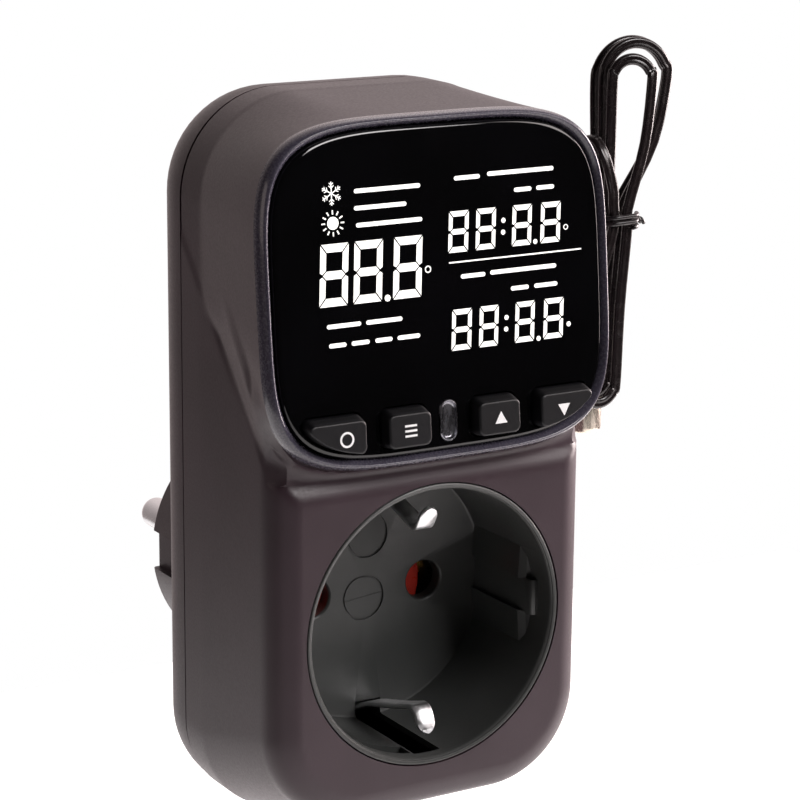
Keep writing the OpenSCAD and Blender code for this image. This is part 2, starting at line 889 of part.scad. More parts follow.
module socket_well() {
    color("#3c3d3c") at_pad() {
        difference() {
            union() {
                rod(0, 0, rim_r, 0, floor_back);
                well_lug_points() {
                    rod(lug_at, 0, lug_r, lug_front, lug_front + lug_t);
                    block(lug_at / 2 + well_r / 2, 0, lug_at - well_r, 2 * lug_r,
                        lug_front, lug_front + lug_t);
                }
            }
            difference() {
                rod(0, 0, well_r, -overrun, well_depth);
                for (side = [-1, 1])
                    block(side * (well_r + overrun), 0, 2 * (guide_proud + overrun), guide_w,
                        guide_start, well_depth + overrun);
            }
            well_lug_points()
                rod(lug_at, 0, small_screw_d / 2 + fit_gap, 0, floor_back);
            for (x = [-pin_x, pin_x]) {
                rod(x, 0, pin_hole_d / 2, well_depth - overrun, floor_back + overrun);
                translate([x, well_depth + 2 * hole_chamfer, 0]) rotate([90, 0, 0])
                    cylinder(h = 3 * hole_chamfer, r1 = pin_hole_d / 2 - hole_chamfer,
                        r2 = pin_hole_d / 2 + 2 * hole_chamfer);
            }
            for (end = [-1, 1])
                block(0, end * (strap_z + overrun), earth_w + 2 * slot_gap,
                    2 * (overrun + earth_t), wall, floor_back + overrun);
            for (side = [-1, 1])
                rod(side * block_screw[0], side * block_screw[1], pilot_r,
                    floor_back - wall / 2, floor_back + overrun);
        }
        rod(0, 0, hub_r, floor_back - fit_gap, plate_front);
        for (side = [-1, 1]) difference() {
            rod(side * block_screw[0], side * block_screw[1], screw_post_r,
                floor_back - fit_gap, plate_front);
            rod(side * block_screw[0], side * block_screw[1], pilot_r,
                floor_back - wall / 2, plate_front + overrun);
        }
    }
}

module well_screws() {
    color("#a8a9ab") at_pad() well_lug_points()
        small_screw(lug_at, 0, lug_front + lug_t, lug_t + wall, 0);
}

module shutter() {
    color("#b8322a") at_pad() difference() {
        block(0, 0, 2 * shutter_end, 2 * shutter_half_h, shutter_front, shutter_back);
        rod(0, 0, hub_r + hub_gap, 0, shutter_back + overrun);
        rod(0, 0, spring_room_r, shutter_back - spring_room, shutter_back + overrun);
    }
}

module shutter_spring() {
    room = spring_room - fit_gap - 2 * spring_wire_r;
    steps = 12 * spring_turns;
    points = [
        for (i = [0 : steps])
            let (a = 30 * i)
            [spring_r * cos(a), plate_front - spring_wire_r - room * i / steps, spring_r * sin(a)]
    ];
    color("#b0b2b4") at_pad() tube(points, spring_wire_r, 6, [1, 0, 0]);
}

module shutter_plate() {
    color("#2c2c2e") at_pad() difference() {
        rod(0, 0, plate_r, plate_front, plate_back);
        for (x = [-pin_x, pin_x]) rod(x, 0, pin_hole_d / 2, 0, plate_back + overrun);
        for (side = [-1, 1])
            rod(side * block_screw[0], side * block_screw[1], small_screw_d / 2 + fit_gap,
                0, plate_back + overrun);
    }
}

module contact_block() {
    color("#d9d5c9") at_pad() difference() {
        slab(plate_back, block_back) polygon(rounded(block_w / 2, -block_h / 2, block_h / 2,
            block_corner_r, block_corner_r, small_steps));
        for (x = [-pin_x, pin_x]) rod(x, 0, contact_r + fit_gap, 0, block_back + overrun);
        for (side = [-1, 1])
            rod(side * block_screw[0], side * block_screw[1], small_screw_d / 2 + fit_gap,
                0, block_back + overrun);
    }
}

module contact_screws() {
    color("#a8a9ab") at_pad() for (side = [-1, 1])
        small_screw(side * block_screw[0], side * block_screw[1], block_back,
            block_t + plate_t + wall, 0);
}

// A spring contact tube with a slit and a solder tab, at x, its tab above or below
module contact(x, tab_side) {
    tab_back = block_back + tab_len;
    difference() {
        rod(x, 0, contact_r, plate_back, tab_back);
        rod(x, 0, contact_bore_r, 0, tab_back + overrun);
        for (side = [-1, 1])
            block(x + side * (tab_w / 2 + contact_r), 0, 2 * contact_r, 3 * contact_r,
                block_back, tab_back + overrun);
        block(x, -tab_side * contact_r, 2 * tab_w, 2 * contact_r, block_back,
            tab_back + overrun);
        block(x, -tab_side * contact_r, contact_slit, contact_r, plate_back - overrun,
            block_back + overrun);
    }
}

module line_contact() {
    color("#c9a25a") at_pad() contact(pin_x, 1);
}

module neutral_contact() {
    color("#c9a25a") at_pad() contact(-pin_x, -1);
}

// A bent strip through [y, z] points, w wide
module strip(points, w) {
    last = len(points) - 1;
    sides = [
        for (i = [0 : last])
            let (a = unit(points[max(i, 1)] - points[max(i, 1) - 1]),
                b = unit(points[min(i + 1, last)] - points[min(i, last - 1)]),
                m = unit(a + b), n = [-m[1], m[0]])
            n * earth_t / 2 / (m * a)
    ];
    outline = concat(
        [for (i = [0 : last]) points[i] + sides[i]],
        [for (i = [last : -1 : 0]) points[i] - sides[i]]
    );
    translate([-w / 2, 0, 0]) rotate([90, 0, 90]) linear_extrude(w) polygon(outline);
}

// The clip's path in the recess as shares of its depth and of the strap's height
clip_shares = [
    [0.13, 0.95], [0.08, 0.83], [0.25, 0.72], [0.57, 0.83], [0.8, 0.85], [1.02, 1]
];

module earth_strap() {
    clip = [for (s = clip_shares) [s[0] * well_depth, s[1] * strap_z]];
    last = len(clip) - 1;
    back = strap_back - earth_t / 2;
    color("#c4c6c8") at_pad() strip(concat(
        [for (i = [0 : last]) [clip[i][0], -clip[i][1]]],
        [[back, -strap_z], [back, strap_z]],
        [for (i = [last : -1 : 0]) clip[i]]
    ), earth_w);
}

module plug_earth_contacts() {
    z = (plug_d - earth_t) / 2;
    color("#c4c6c8") at_pad() for (end = [-1, 1])
        strip([
            [strap_back + earth_t / 2, end * (strap_z - 2 * earth_t)],
            [strap_back + earth_t / 2, end * z],
            [plug_inner - loose_gap, end * z]
        ], earth_w);
}

// Plug

module plug_pins() {
    color("#c8cacc") at_pad() for (x = [-pin_x, pin_x]) {
        tip = plug_end + pin_len;
        rod(x, 0, pin_d / 2, plug_end, tip - pin_tip);
        rod(x, 0, pin_root_r, plug_inner - fit_gap, plug_end + fit_gap);
        rod(x, 0, pin_flange_r, pin_seat, plug_inner);
        rod(x, 0, pin_tail_r, pin_seat - pin_tail, pin_seat + fit_gap);
        translate([x, tip, 0]) rotate([90, 0, 0])
            cylinder(h = pin_tip, r1 = pin_d / 2 - pin_tip, r2 = pin_d / 2);
    }
}

module pin_retainer() {
    color("#e0ddd4") at_pad() difference() {
        rod(0, 0, plug_bore_r - fit_gap, retainer_front, pin_seat);
        for (x = [-pin_x, pin_x]) rod(x, 0, pin_tail_r + fit_gap, 0, plug_end);
        for (end = [-1, 1])
            rod(0, end * retainer_screw_z, small_screw_d / 2 + fit_gap, 0, plug_end);
    }
}

module retainer_screws() {
    color("#a8a9ab") at_pad() for (end = [-1, 1])
        small_screw(0, end * retainer_screw_z, retainer_front,
            retainer_t + pin_flange_t + wall / 4, 1);
}

module neutral_link() {
    z = -contact_bore_r - 1.5 * contact_wall - hub_gap;
    bend = pin_seat - pin_tail;
    color("#c9a25a") at_pad() {
        block(-pin_x, z, tab_w, contact_wall, block_back, bend + tab_len);
        block(-pin_x, z / 2 - pin_tail_r / 2, tab_w, -z - pin_tail_r, bend, bend + contact_wall);
    }
}

line_route = [
    [9.5, 44, 0], [9.5, 42.4, 0], [9.2, 41, 1.8], [8.6, 39.6, 4.4], [7.6, 37, 7.6],
    [6.6, 34.2, 10.2], [6, 32.6, 12.8], [6, 31.7, 16], [6, 31.3, 20], [6, 31, 24],
    [6, 30.8, 25.8], [6, 30, 26.7], [6, 28.9, 26.7]
];
switched_route = [
    [9.5, 32.6, 4.2], [9.7, 33.5, 4.5], [10.1, 34.1, 5.5], [10.6, 34, 7], [11.4, 32.6, 11],
    [11.6, 31.6, 16], [11.6, 31, 21], [11.6, 30.9, 24.4], [11.6, 30, 26.1], [11.6, 28.9, 26.1]
];

module line_wire() {
    color("#7a4a2a") at_pad() tube(line_route, wire_r, lead_sides, [1, 0, 0]);
}

module switched_wire() {
    color("#1e1e20") at_pad() tube(switched_route, wire_r, lead_sides, [1, 0, 0]);
}

// Probe and lead

module lead_grommet() {
    color("#1c1a1c") at_pad() translate([0, exit_y, exit_z]) rotate([0, 90, 0]) {
        translate([0, 0, grommet_flange_x - grommet_flange_t])
            cylinder(h = grommet_flange_t, r = collar_r);
        translate([0, 0, grommet_flange_x - fit_gap])
            cylinder(h = collar_x - grommet_flange_x + 2 * fit_gap, r = grommet_r);
        translate([0, 0, collar_x]) cylinder(h = collar_t, r = collar_r);
        translate([0, 0, collar_x + collar_t - fit_gap])
            cylinder(h = exit_x - collar_x - collar_t + fit_gap, r1 = grommet_r,
                r2 = grommet_tip_r);
    }
}

module sensor_lead() {
    color("#1d1718") at_pad() tube(sensor_route, lead_d / 2, lead_sides, [0, 1, 0]);
}

// Loop k of the hank: its lowest and highest turns and its places at the tie
function low_turn(k) = [low_x + layer_shift * k + low_w / 2, low_z + low_rise * k + low_w / 2];
function top_r(k) = top_w * top_w_shares[k] / 2;
function top_turn(k) = [
    top_x + top_r(k), top_z - top_w * top_drop_shares[k] - top_r(k)
];

// A run from just above or below the tie to the side of a turn, t from 0 to 1
function run(from_x, to, end, t) =
    let (from_z = tie_z + end * tie_hold)
    [from_x + (to[0] - from_x) * sin(90 * t), from_z + (to[1] - from_z) * t];

// Place of ring i in the hank, as [x, z]
function hank_place(i) =
    let (k = min(floor(i / hank_rings), hank_loops - 1), j = i - hank_rings * k,
        low = low_turn(k), high = top_turn(k), r = low_w / 2, q = top_r(k),
        left = waist_x + layer_shift * k, right = left + waist_w)
    j <= 2 ? run(left, [low[0] - r, low[1]], -1, j / 2) :
    j <= 8 ? low + r * [-cos(30 * (j - 2)), -sin(30 * (j - 2))] :
    j <= 10 ? run(right, [low[0] + r, low[1]], -1, (10 - j) / 2) :
    j <= 13 ? run(right, [high[0] + q, high[1]], 1, (j - 11) / 2) :
    j <= 21 ? high + q * [cos(22.5 * (j - 13)), sin(22.5 * (j - 13))] :
    run(left + layer_shift, [high[0] - q, high[1]], 1, (23 - j) / 2);

// Share of the step to the next layer that ring i has climbed, on the right of the loop
function climb(i) =
    let (j = i % hank_rings, t = max(0, min(1, (j - 10) / 11))) floor(i / hank_rings)
        + (1 - cos(180 * t)) / 2;

hank_path = concat(
    [[waist_x, hank_front, tie_z + hank_lead_in]],
    [
        for (i = [0 : hank_rings * hank_loops - 1])
            let (p = hank_place(i), y = hank_front + hank_pitch * climb(i)) [p[0], y, p[1]]
    ],
    [[waist_x + layer_shift * hank_loops, hank_front + hank_pitch * hank_loops,
        tie_z - hank_lead_in]]
);

// The least gap between stretches of the hank that are more than a few rings apart
gap_steps = 4;
hank_fine = [
    for (i = [0 : len(hank_path) - 2], s = [0 : gap_steps - 1])
        hank_path[i] + (hank_path[i + 1] - hank_path[i]) * s / gap_steps
];
far_apart = 5 * gap_steps;
hank_gap = min([
    for (i = [0 : len(hank_fine) - 1], j = [i + far_apart : len(hank_fine) - 1])
        norm(hank_fine[i] - hank_fine[j])
]) - lead_d;

module lead_hank() {
    echo("least gap of the hank to itself, mm", hank_gap);
    color("#1d1718") at_pad() tube(hank_path, lead_d / 2, hank_sides, [0, 1, 0]);
}

module probe_lead() {
    color("#1d1718") at_pad() tube(probe_route, lead_d / 2, lead_sides, [0, 1, 0]);
}

// Corners of the bundle at the tie, as [x, y], and the tie's two wraps round them
tie_corners = [
    [waist_x, hank_front],
    [waist_x + waist_w, hank_front],
    [waist_x + waist_w + layer_shift * (hank_loops - 1),
        hank_front + hank_pitch * (hank_loops - 1)],
    [waist_x + layer_shift * hank_loops, hank_front + hank_pitch * hank_loops]
];
tie_reach = lead_d / 2 + fit_gap + tie_r;
function edge_angle(i) =
    let (e = tie_corners[(i + 1) % 4] - tie_corners[i % 4]) atan2(e[1], e[0]) - 90;
function between(a, b) = (b - a + 720) % 360;
tie_wrap = [
    for (i = [1 : 9], s = [0 : tie_steps - 1])
        let (a = edge_angle(i - 1), turn = between(a, edge_angle(i)),
            angle = a + turn * s / (tie_steps - 1), c = tie_corners[i % 4],
            step = (i - 1) * tie_steps + s)
        [c[0] + tie_reach * cos(angle), c[1] + tie_reach * sin(angle),
            tie_z + tie_pitch * (step / tie_steps - 4.5) / 4]
];

module hank_tie() {
    color("#2a2224") at_pad() {
        tube(tie_wrap, tie_r, hank_sides, [0, 0, 1]);
        translate([waist_x + waist_w + lead_d / 2 + fit_gap + knot_r, hank_front, tie_z])
            sphere(r = knot_r, $fn = 12);
    }
}

module probe_sleeve() {
    color("#1a1718") at_pad() translate([probe_x, probe_y, probe_top])
        cylinder(h = sleeve_len, r1 = probe_d / 2 - fit_gap, r2 = lead_d / 2 + face_gap);
}

module probe_cap() {
    nose = probe_d / 8;
    color("#b9b2a6") at_pad() translate([probe_x, probe_y, probe_bottom]) {
        cylinder(h = nose, r1 = probe_d / 2 - nose, r2 = probe_d / 2);
        translate([0, 0, nose]) cylinder(h = probe_len - nose, r = probe_d / 2);
    }
}

front_shell();
rear_cover();
display_bezel();
display_window();
lcd_panel();
lcd_backlight();
lcd_connector();
indicator_lens();
indicator_led();
set_key();
function_key();
up_key();
down_key();
set_plunger();
function_plunger();
up_plunger();
down_plunger();
tact_switches();
control_board();
control_chip();
control_screws();
power_board();
relay();
mains_capacitor();
smoothing_capacitor();
fuse();
varistor();
board_link();
power_screws();
socket_well();
shutter();
shutter_spring();
shutter_plate();
contact_block();
contact_screws();
line_contact();
neutral_contact();
earth_strap();
plug_earth_contacts();
plug_pins();
pin_retainer();
retainer_screws();
neutral_link();
line_wire();
switched_wire();
well_screws();
case_screws();
lead_grommet();
sensor_lead();
lead_hank();
probe_lead();
hank_tie();
probe_sleeve();
probe_cap();
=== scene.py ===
# Looks of the plug-in temperature controller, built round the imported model.
# Lengths named here are millimetres measured from the socket pad's plane, unless a comment says
# otherwise, and place() turns them into the model's frame in metres.
import json
from math import asin, atan2, copysign, cos, dist, hypot, pi, radians, sin, sqrt, tan

import bmesh
import bpy
import numpy as np
from mathutils import Matrix, Vector


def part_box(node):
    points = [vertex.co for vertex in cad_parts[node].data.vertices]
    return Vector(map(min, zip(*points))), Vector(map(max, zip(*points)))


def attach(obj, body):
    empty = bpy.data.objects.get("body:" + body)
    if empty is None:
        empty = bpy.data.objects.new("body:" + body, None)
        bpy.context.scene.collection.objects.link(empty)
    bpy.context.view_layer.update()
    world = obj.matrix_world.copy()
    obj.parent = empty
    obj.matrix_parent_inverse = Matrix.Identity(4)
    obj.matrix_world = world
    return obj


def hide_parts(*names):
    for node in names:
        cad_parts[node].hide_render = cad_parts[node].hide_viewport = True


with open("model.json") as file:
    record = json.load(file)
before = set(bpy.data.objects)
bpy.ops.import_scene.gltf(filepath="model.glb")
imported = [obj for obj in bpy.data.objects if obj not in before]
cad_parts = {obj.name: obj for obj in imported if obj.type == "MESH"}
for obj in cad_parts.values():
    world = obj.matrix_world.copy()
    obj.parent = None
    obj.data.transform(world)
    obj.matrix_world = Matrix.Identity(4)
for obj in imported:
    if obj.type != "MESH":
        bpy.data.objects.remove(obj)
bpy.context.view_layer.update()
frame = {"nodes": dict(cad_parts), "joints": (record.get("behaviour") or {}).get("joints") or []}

MM = 0.001
PAD_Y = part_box("socket_well")[0][1] / MM
PRESS = next(j for j in frame["joints"] if j["name"] == "set_press")["axis"]
LEAN = asin(-PRESS[2])
CASE_LOW, CASE_HIGH = [[v / MM for v in corner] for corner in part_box("rear_cover")]

# Case
CASE_HALF_W = CASE_HIGH[0]
CASE_TOP = CASE_HIGH[2]
CASE_BOTTOM = CASE_LOW[2]
TOP_R = 15
BOTTOM_R = 14
SEAM_Y = 28
SEAM_GAP = 0.6
BAND_Y = 22
BACK_Y = 35.9
BACK_FILLET = 3
BACK_ROUND = 7
WALL = 2
BOSS_R = 3
SCREW_SEAT = 31.6
FRONT_HALF_W = 25.4
FRONT_BOTTOM = 27.6
PAD_HALF_W = 21.35
PAD_TOP = 21.65
PAD_BOTTOM = 22.9
PAD_CORNER_R = 10.5
PAD_STEP = 1.1
PAD_SHOULDER = 1.3
FILLET_Y = 4.7
NECK_TOP = 30.05
HEAD_ROOT = 36
GLAND_AT = (15, 60)

# Display head
REACH = 5.93
BEZEL_A = 27.9
BEZEL_B = 24.1
BEZEL_CENTRE = 48.6
BEZEL_ROUND = 4.4
BEZEL_T = 2.2
BEZEL_BAND = 1.55
WINDOW_DEPTH = 0.2

# Socket
RIM_R = 20.73
WELL_R = 19.77
WELL_Y = 18.95
FLOOR_BACK = 21.15
PEG_BACK = 23.15
PIN_X = 9.5
PIN_HOLE_R = 2.9

# Plug
PLUG_R = 18.9
PLUG_HOLLOW_R = 15.7
PLUG_END = 53
PIN_R = 2.4
PIN_END = 72

# The photograph's camera: its lens in pixels of an 800 pixel frame, its turn in degrees and its
# place in millimetres
PHOTO_PIXELS = 800
CAMERA_PIXELS = 2743.8
CAMERA_TURN = (-31.05, 14.03, 0.49)
CAMERA_AT = (-194.98, -313.51, 125.08)


def place(x, y, z):
    """A point of the case, in metres in the model's frame."""
    return (x * MM, (y + PAD_Y) * MM, z * MM)


# Node and colour helpers

def colour(code):
    """An sRGB hex colour as linear red, green, blue and 1."""
    parts = [int(code[i:i + 2], 16) / 255 for i in (1, 3, 5)]
    return [c / 12.92 if c <= 0.04045 else ((c + 0.055) / 1.055) ** 2.4 for c in parts] + [1]


def add(tree, kind, inputs=(), **settings):
    """Adds a node with its settings. An input's value is a plain value or a socket to link."""
    made = tree.nodes.new(kind)
    for name, value in settings.items():
        setattr(made, name, value)
    for name, value in dict(inputs).items():
        if isinstance(value, bpy.types.NodeSocket):
            tree.links.new(value, made.inputs[name])
        else:
            made.inputs[name].default_value = value
    return made


def new_material(name):
    """A new material, its empty tree and the place on the piece."""
    made = bpy.data.materials.new(name)
    made.use_nodes = True
    made.node_tree.nodes.clear()
    return made, made.node_tree, add(made.node_tree, "ShaderNodeTexCoord").outputs["Object"]


def show(tree, shader):
    """Ends a material's tree in a shader with the given inputs."""
    lit = add(tree, "ShaderNodeBsdfPrincipled", shader)
    add(tree, "ShaderNodeOutputMaterial", {"Surface": lit.outputs["BSDF"]})


def worked(tree, marks, low, high, depth_mm, strength):
    """Roughness and fine relief from the same marks."""
    gloss = add(tree, "ShaderNodeMapRange", {
        "Value": marks.outputs["Fac"], "From Min": 0.3, "From Max": 0.7,
        "To Min": low, "To Max": high})
    bump = add(tree, "ShaderNodeBump", {
        "Height": marks.outputs["Fac"], "Distance": depth_mm * MM, "Strength": strength})
    return {"Roughness": gloss.outputs["Result"], "Normal": bump.outputs["Normal"]}


# Width of the slow changes of tone on moulded plastic and on the lit marks
CLOUD_MM = 14
GLOW_MM = 9


def moulded(name, base, light, rough, grain_mm, depth_mm, coat=0.0, ior=1.5):
    """Moulded plastic: a fine spark-eroded grain, slow changes of tone and of gloss."""
    made, tree, at = new_material(name)
    grain = add(tree, "ShaderNodeTexNoise", {
        "Vector": at, "Scale": 1 / (grain_mm * MM), "Detail": 3, "Roughness": 0.6})
    cloud = add(tree, "ShaderNodeTexNoise", {
        "Vector": at, "Scale": 1 / (CLOUD_MM * MM), "Detail": 2})
    tone = add(tree, "ShaderNodeValToRGB", {"Fac": cloud.outputs["Fac"]})
    for end, stop, code in zip(tone.color_ramp.elements, (0.35, 0.7), (base, light)):
        end.position = stop
        end.color = colour(code)
    show(tree, {"IOR": ior, "Coat Weight": coat, "Base Color": tone.outputs["Color"],
                **worked(tree, grain, rough - 0.05, rough + 0.06, depth_mm, 1)})
    return made


def metal(name, base, rough, brush_mm, depth_mm, stretch=(1, 1, 1)):
    """Bare or plated metal: fine marks drawn out along the way it was worked."""
    made, tree, at = new_material(name)
    drawn = add(tree, "ShaderNodeMapping", {"Vector": at, "Scale": stretch})
    marks = add(tree, "ShaderNodeTexNoise", {
        "Vector": drawn.outputs["Vector"], "Scale": 1 / (brush_mm * MM), "Detail": 4})
    tone = add(tree, "ShaderNodeMix", {
        "Factor": marks.outputs["Fac"], "A": colour(base),
        "B": [min(1, 1.15 * c) for c in colour(base)[:3]] + [1]}, data_type="RGBA")
    show(tree, {"Metallic": 1, "Base Color": tone.outputs["Result"],
                **worked(tree, marks, rough * 0.7, rough * 1.3, depth_mm, 0.6)})
    return made


# Satin ABS of the case: dark brownish grey with a fine even grain that softens every highlight
CASE_ABS = moulded("satin_abs_case", "#34272d", "#3b2d34", 0.4, 0.35, 0.012, ior=1.43)
# Painted ABS of the display frame: a cooler, smoother grey that catches the light at its crest
BEZEL_PAINT = moulded("painted_abs_bezel", "#43404c", "#4a4754", 0.26, 0.35, 0.0012, coat=0.3)
# Cast acrylic window, printed black behind: deep black with a sharp reflection
WINDOW_ACRYLIC = moulded("black_acrylic_window", "#050506", "#070709", 0.06, 6, 0.002, ior=1.49)
# Satin ABS of the keys, a little bluer than the case
KEY_ABS = moulded("satin_abs_keys", "#0b0b0e", "#101014", 0.42, 0.3, 0.008, ior=1.4)
# Glass-filled polyamide of the socket: dark neutral grey, slightly glossy
WELL_NYLON = moulded("nylon_socket", "#3c3e3d", "#444645", 0.36, 0.45, 0.01)
# Red polycarbonate of the shutter
SHUTTER_RED = moulded("red_polycarbonate_shutter", "#d8382a", "#e24434", 0.3, 1, 0.004)
# Soft vinyl skin of the lead: near black brown and glossy, with faint dull patches
LEAD_VINYL = moulded("vinyl_lead", "#171213", "#1f191a", 0.24, 1.5, 0.01, coat=0.15)
# Thinner vinyl of the tie: a shade darker and a little duller
TIE_VINYL = moulded("vinyl_tie", "#141012", "#1c1719", 0.3, 0.8, 0.01)
# Nickel plate of the earth clips: bright and soft, with next to no relief
NICKEL = metal("nickel_plate", "#e2e3e4", 0.4, 0.8, 0.0002)
# The same plate on the turned pins: glossier, with faint marks along them
PIN_NICKEL = metal("nickel_plate_pins", "#c6c8ca", 0.2, 0.5, 0.003, (1, 0.15, 1))
# Polished stainless steel of the probe, drawn lengthwise
PROBE_STEEL = metal("polished_stainless_probe", "#d6ccbe", 0.28, 0.4, 0.001, (1, 1, 0.1))
# Clear lens drawn as a grey metal: its bright upright streaks in a grey oval are painted
# reflections
LENS_ACRYLIC = metal("metallised_lens_cup", "#8e8e94", 0.26, 1.1, 0.05, (1.6, 1, 0.45))
# Zinc plated steel of the screws: grey with a soft mottle
ZINC = metal("zinc_plate", "#a2a4a6", 0.34, 0.6, 0.004)


def lit_mark(name, code, strength):
    """White marks with an even soft glow: the segments of a negative liquid crystal lit from
    behind, and the keys' print, whose glow is painted light.
    """
    made, tree, at = new_material(name)
    cloud = add(tree, "ShaderNodeTexNoise", {
        "Vector": at, "Scale": 1 / (GLOW_MM * MM), "Detail": 1})
    tone = add(tree, "ShaderNodeMix", {
        "Factor": cloud.outputs["Fac"], "A": colour(code),
        "B": [0.93 * c for c in colour(code)[:3]] + [1]}, data_type="RGBA")
    show(tree, {"Base Color": colour(code), "Emission Strength": strength,
                "Emission Color": tone.outputs["Result"]})
    return made


SEGMENT_WHITE = lit_mark("backlit_segment_white", "#f4f4f0", 0.8)
# Pad-printed marks on the keys, matt and a little greyer than the segments, with a faint painted
# glow though the ink gives no light
KEY_PRINT_PAINTED_GLOW = lit_mark("key_print_white", "#e6e6e6", 0.25)


# Mesh helpers

def stand(name, data):
    """A new object in the scene."""
    made = bpy.data.objects.new(name, data)
    bpy.context.scene.collection.objects.link(made)
    return made


def piece(name, points, faces, material, smooth=True, sharp=None):
    """A mesh piece from points of the case in millimetres."""
    mesh = bpy.data.meshes.new(name)
    mesh.from_pydata([place(*p) for p in points], [], faces)
    made = stand(name, mesh)
    if material:
        mesh.materials.append(material)
    dress(made, smooth, sharp)
    return made


def dress(made, smooth=True, sharp=None):
    """Sets smooth shading, with edges turned by more than sharp degrees left crisp."""
    mesh = made.data
    if smooth:
        mesh.shade_smooth()
    else:
        mesh.shade_flat()
    if smooth and sharp:
        mesh.set_sharp_from_angle(angle=radians(sharp))


def skin(made, material):
    """One material for the whole of a piece."""
    made.data.materials.clear()
    made.data.materials.append(material)
    made.data.polygons.foreach_set("material_index", [0] * len(made.data.polygons))
    return made


def outward(made, merge=0.0):
    """Merges doubles and turns the faces of a closed piece outwards."""
    bm = bmesh.new()
    bm.from_mesh(made.data)
    if merge:
        bmesh.ops.remove_doubles(bm, verts=bm.verts, dist=merge)
    bmesh.ops.recalc_face_normals(bm, faces=bm.faces)
    bm.to_mesh(made.data)
    bm.free()
    return made


def ring_faces(rings, sides, closed=False):
    """Faces between rings of as many points, with caps unless the rings close on themselves."""
    faces = []
    for i in range(rings if closed else rings - 1):
        a, b = i * sides, (i + 1) % rings * sides
        faces += [(a + j, a + (j + 1) % sides, b + (j + 1) % sides, b + j) for j in range(sides)]
    if not closed:
        last = (rings - 1) * sides
        faces += [tuple(range(sides))[::-1], tuple(range(last, last + sides))]
    return faces


def loft(name, rings, material=None, sharp=None):
    """A closed piece through rings of points."""
    points = [p for ring in rings for p in ring]
    made = piece(name, points, ring_faces(len(rings), len(rings[0])), material, True, sharp)
    return outward(made)


def corner(cx, cz, r, start, steps):
    """A quarter of a round corner in x and z."""
    turns = [radians(start + 90 * i / steps) for i in range(steps + 1)]
    return [(cx + r * cos(a), cz + r * sin(a)) for a in turns]


def rounded(half_w, low, high, r_low, r_high, steps=15):
    """An outline with one radius at its top corners and another at its bottom corners."""
    return (corner(half_w - r_high, high - r_high, r_high, 0, steps)
            + corner(r_high - half_w, high - r_high, r_high, 90, steps)
            + corner(r_low - half_w, low + r_low, r_low, 180, steps)
            + corner(half_w - r_low, low + r_low, r_low, 270, steps))


def display_outline(inset, points=64):
    """The display's outline across and up the display, drawn in by an inset."""
    out = []
    for i in range(points):
        t = 2 * pi * (i + 0.5) / points
        c, s = cos(t), sin(t)
        out.append(((BEZEL_A - inset) * copysign(abs(c) ** (2 / BEZEL_ROUND), c),
                    BEZEL_CENTRE + (BEZEL_B - inset) * copysign(abs(s) ** (2 / BEZEL_ROUND), s)))
    return out


def at_depth(y, outline):
    """An outline in x and z, as points behind the pad."""
    return [(x, y, z) for x, z in outline]


def leaned(depth, outline):
    """An outline across and up the leaning display, as points behind its face."""
    y = depth - REACH
    c, s = cos(LEAN), sin(LEAN)
    return [(u, y * c + w * s, w * c - y * s) for u, w in outline]


def quarter(r, steps):
    """How far a round edge of radius r goes in and along, in steps of its quarter turn."""
    turns = [pi / 2 * i / steps for i in range(steps + 1)]
    return [(r * (1 - cos(a)), r * (1 - sin(a))) for a in turns]


def lathe(name, profile, at=(0, 0), steps=96, sharp=40, put=None, material=None):
    """Turns (radius, y) points about an axis along y through x and z, or as put places them."""
    put = put or (lambda a, y, b: (at[0] + a, y, at[1] + b))
    points = [put(a, y, b) for r, y in profile for a, b in circle(r, steps)]
    made = piece(name, points, ring_faces(len(profile), steps), material)
    outward(made, merge=1e-7)
    dress(made, True, sharp)
    return made


def join(made, name):
    """Several pieces as one mesh."""
    bm = bmesh.new()
    for one in made:
        bm.from_mesh(one.data)
    bm.to_mesh(made[0].data)
    bm.free()
    for one in made[1:]:
        bpy.data.objects.remove(one)
    made[0].name = name
    made[0].data.name = name
    return made[0]


def carve(target, tools, operation="DIFFERENCE"):
    """Cuts the tools out of the target, or joins them to it, and deletes the tools."""
    for tool in tools:
        modifier = target.modifiers.new("carve", "BOOLEAN")
        modifier.operation = operation
        modifier.solver = "MANIFOLD"
        modifier.object = tool
        settle(target)
        bpy.data.objects.remove(tool)
    return target


def settle(made):
    """Replaces a piece's mesh by what its modifiers make of it."""
    graph = bpy.context.evaluated_depsgraph_get()
    mesh = bpy.data.meshes.new_from_object(made.evaluated_get(graph))
    old = made.data
    made.modifiers.clear()
    made.data = mesh
    mesh.name = made.name
    bpy.data.meshes.remove(old)
    return made


def bevel(made, width_mm, angle=40):
    """Rounds the edges turned by more than an angle."""
    modifier = made.modifiers.new("edges", "BEVEL")
    modifier.width = width_mm * MM
    modifier.segments = 2
    modifier.limit_method = "ANGLE"
    modifier.angle_limit = radians(angle)
    settle(made)
    dress(made, True, 24)
    return made


def box(name, x, y, z, material=None):
    """A box between two x, two y and two z values."""
    points = [(a, b, c) for a in x for b in y for c in z]
    faces = [(0, 1, 3, 2), (4, 6, 7, 5), (0, 4, 5, 1), (2, 3, 7, 6), (0, 2, 6, 4), (1, 5, 7, 3)]
    return outward(piece(name, points, faces, material, smooth=False))


def draw_in(outline, inset):
    """An outline that runs anticlockwise, moved in along its own normals."""
    points = np.array(outline)
    along = np.roll(points, -1, axis=0) - np.roll(points, 1, axis=0)
    normal = np.stack([along[:, 1], -along[:, 0]], axis=1)
    normal /= np.linalg.norm(normal, axis=1)[:, None]
    return [tuple(p) for p in points - inset * normal]


def turned(outline, turn, at=(0, 0)):
    """An outline turned by degrees and then moved."""
    c, s = cos(radians(turn)), sin(radians(turn))
    return [(at[0] + a * c - b * s, at[1] + a * s + b * c) for a, b in outline]


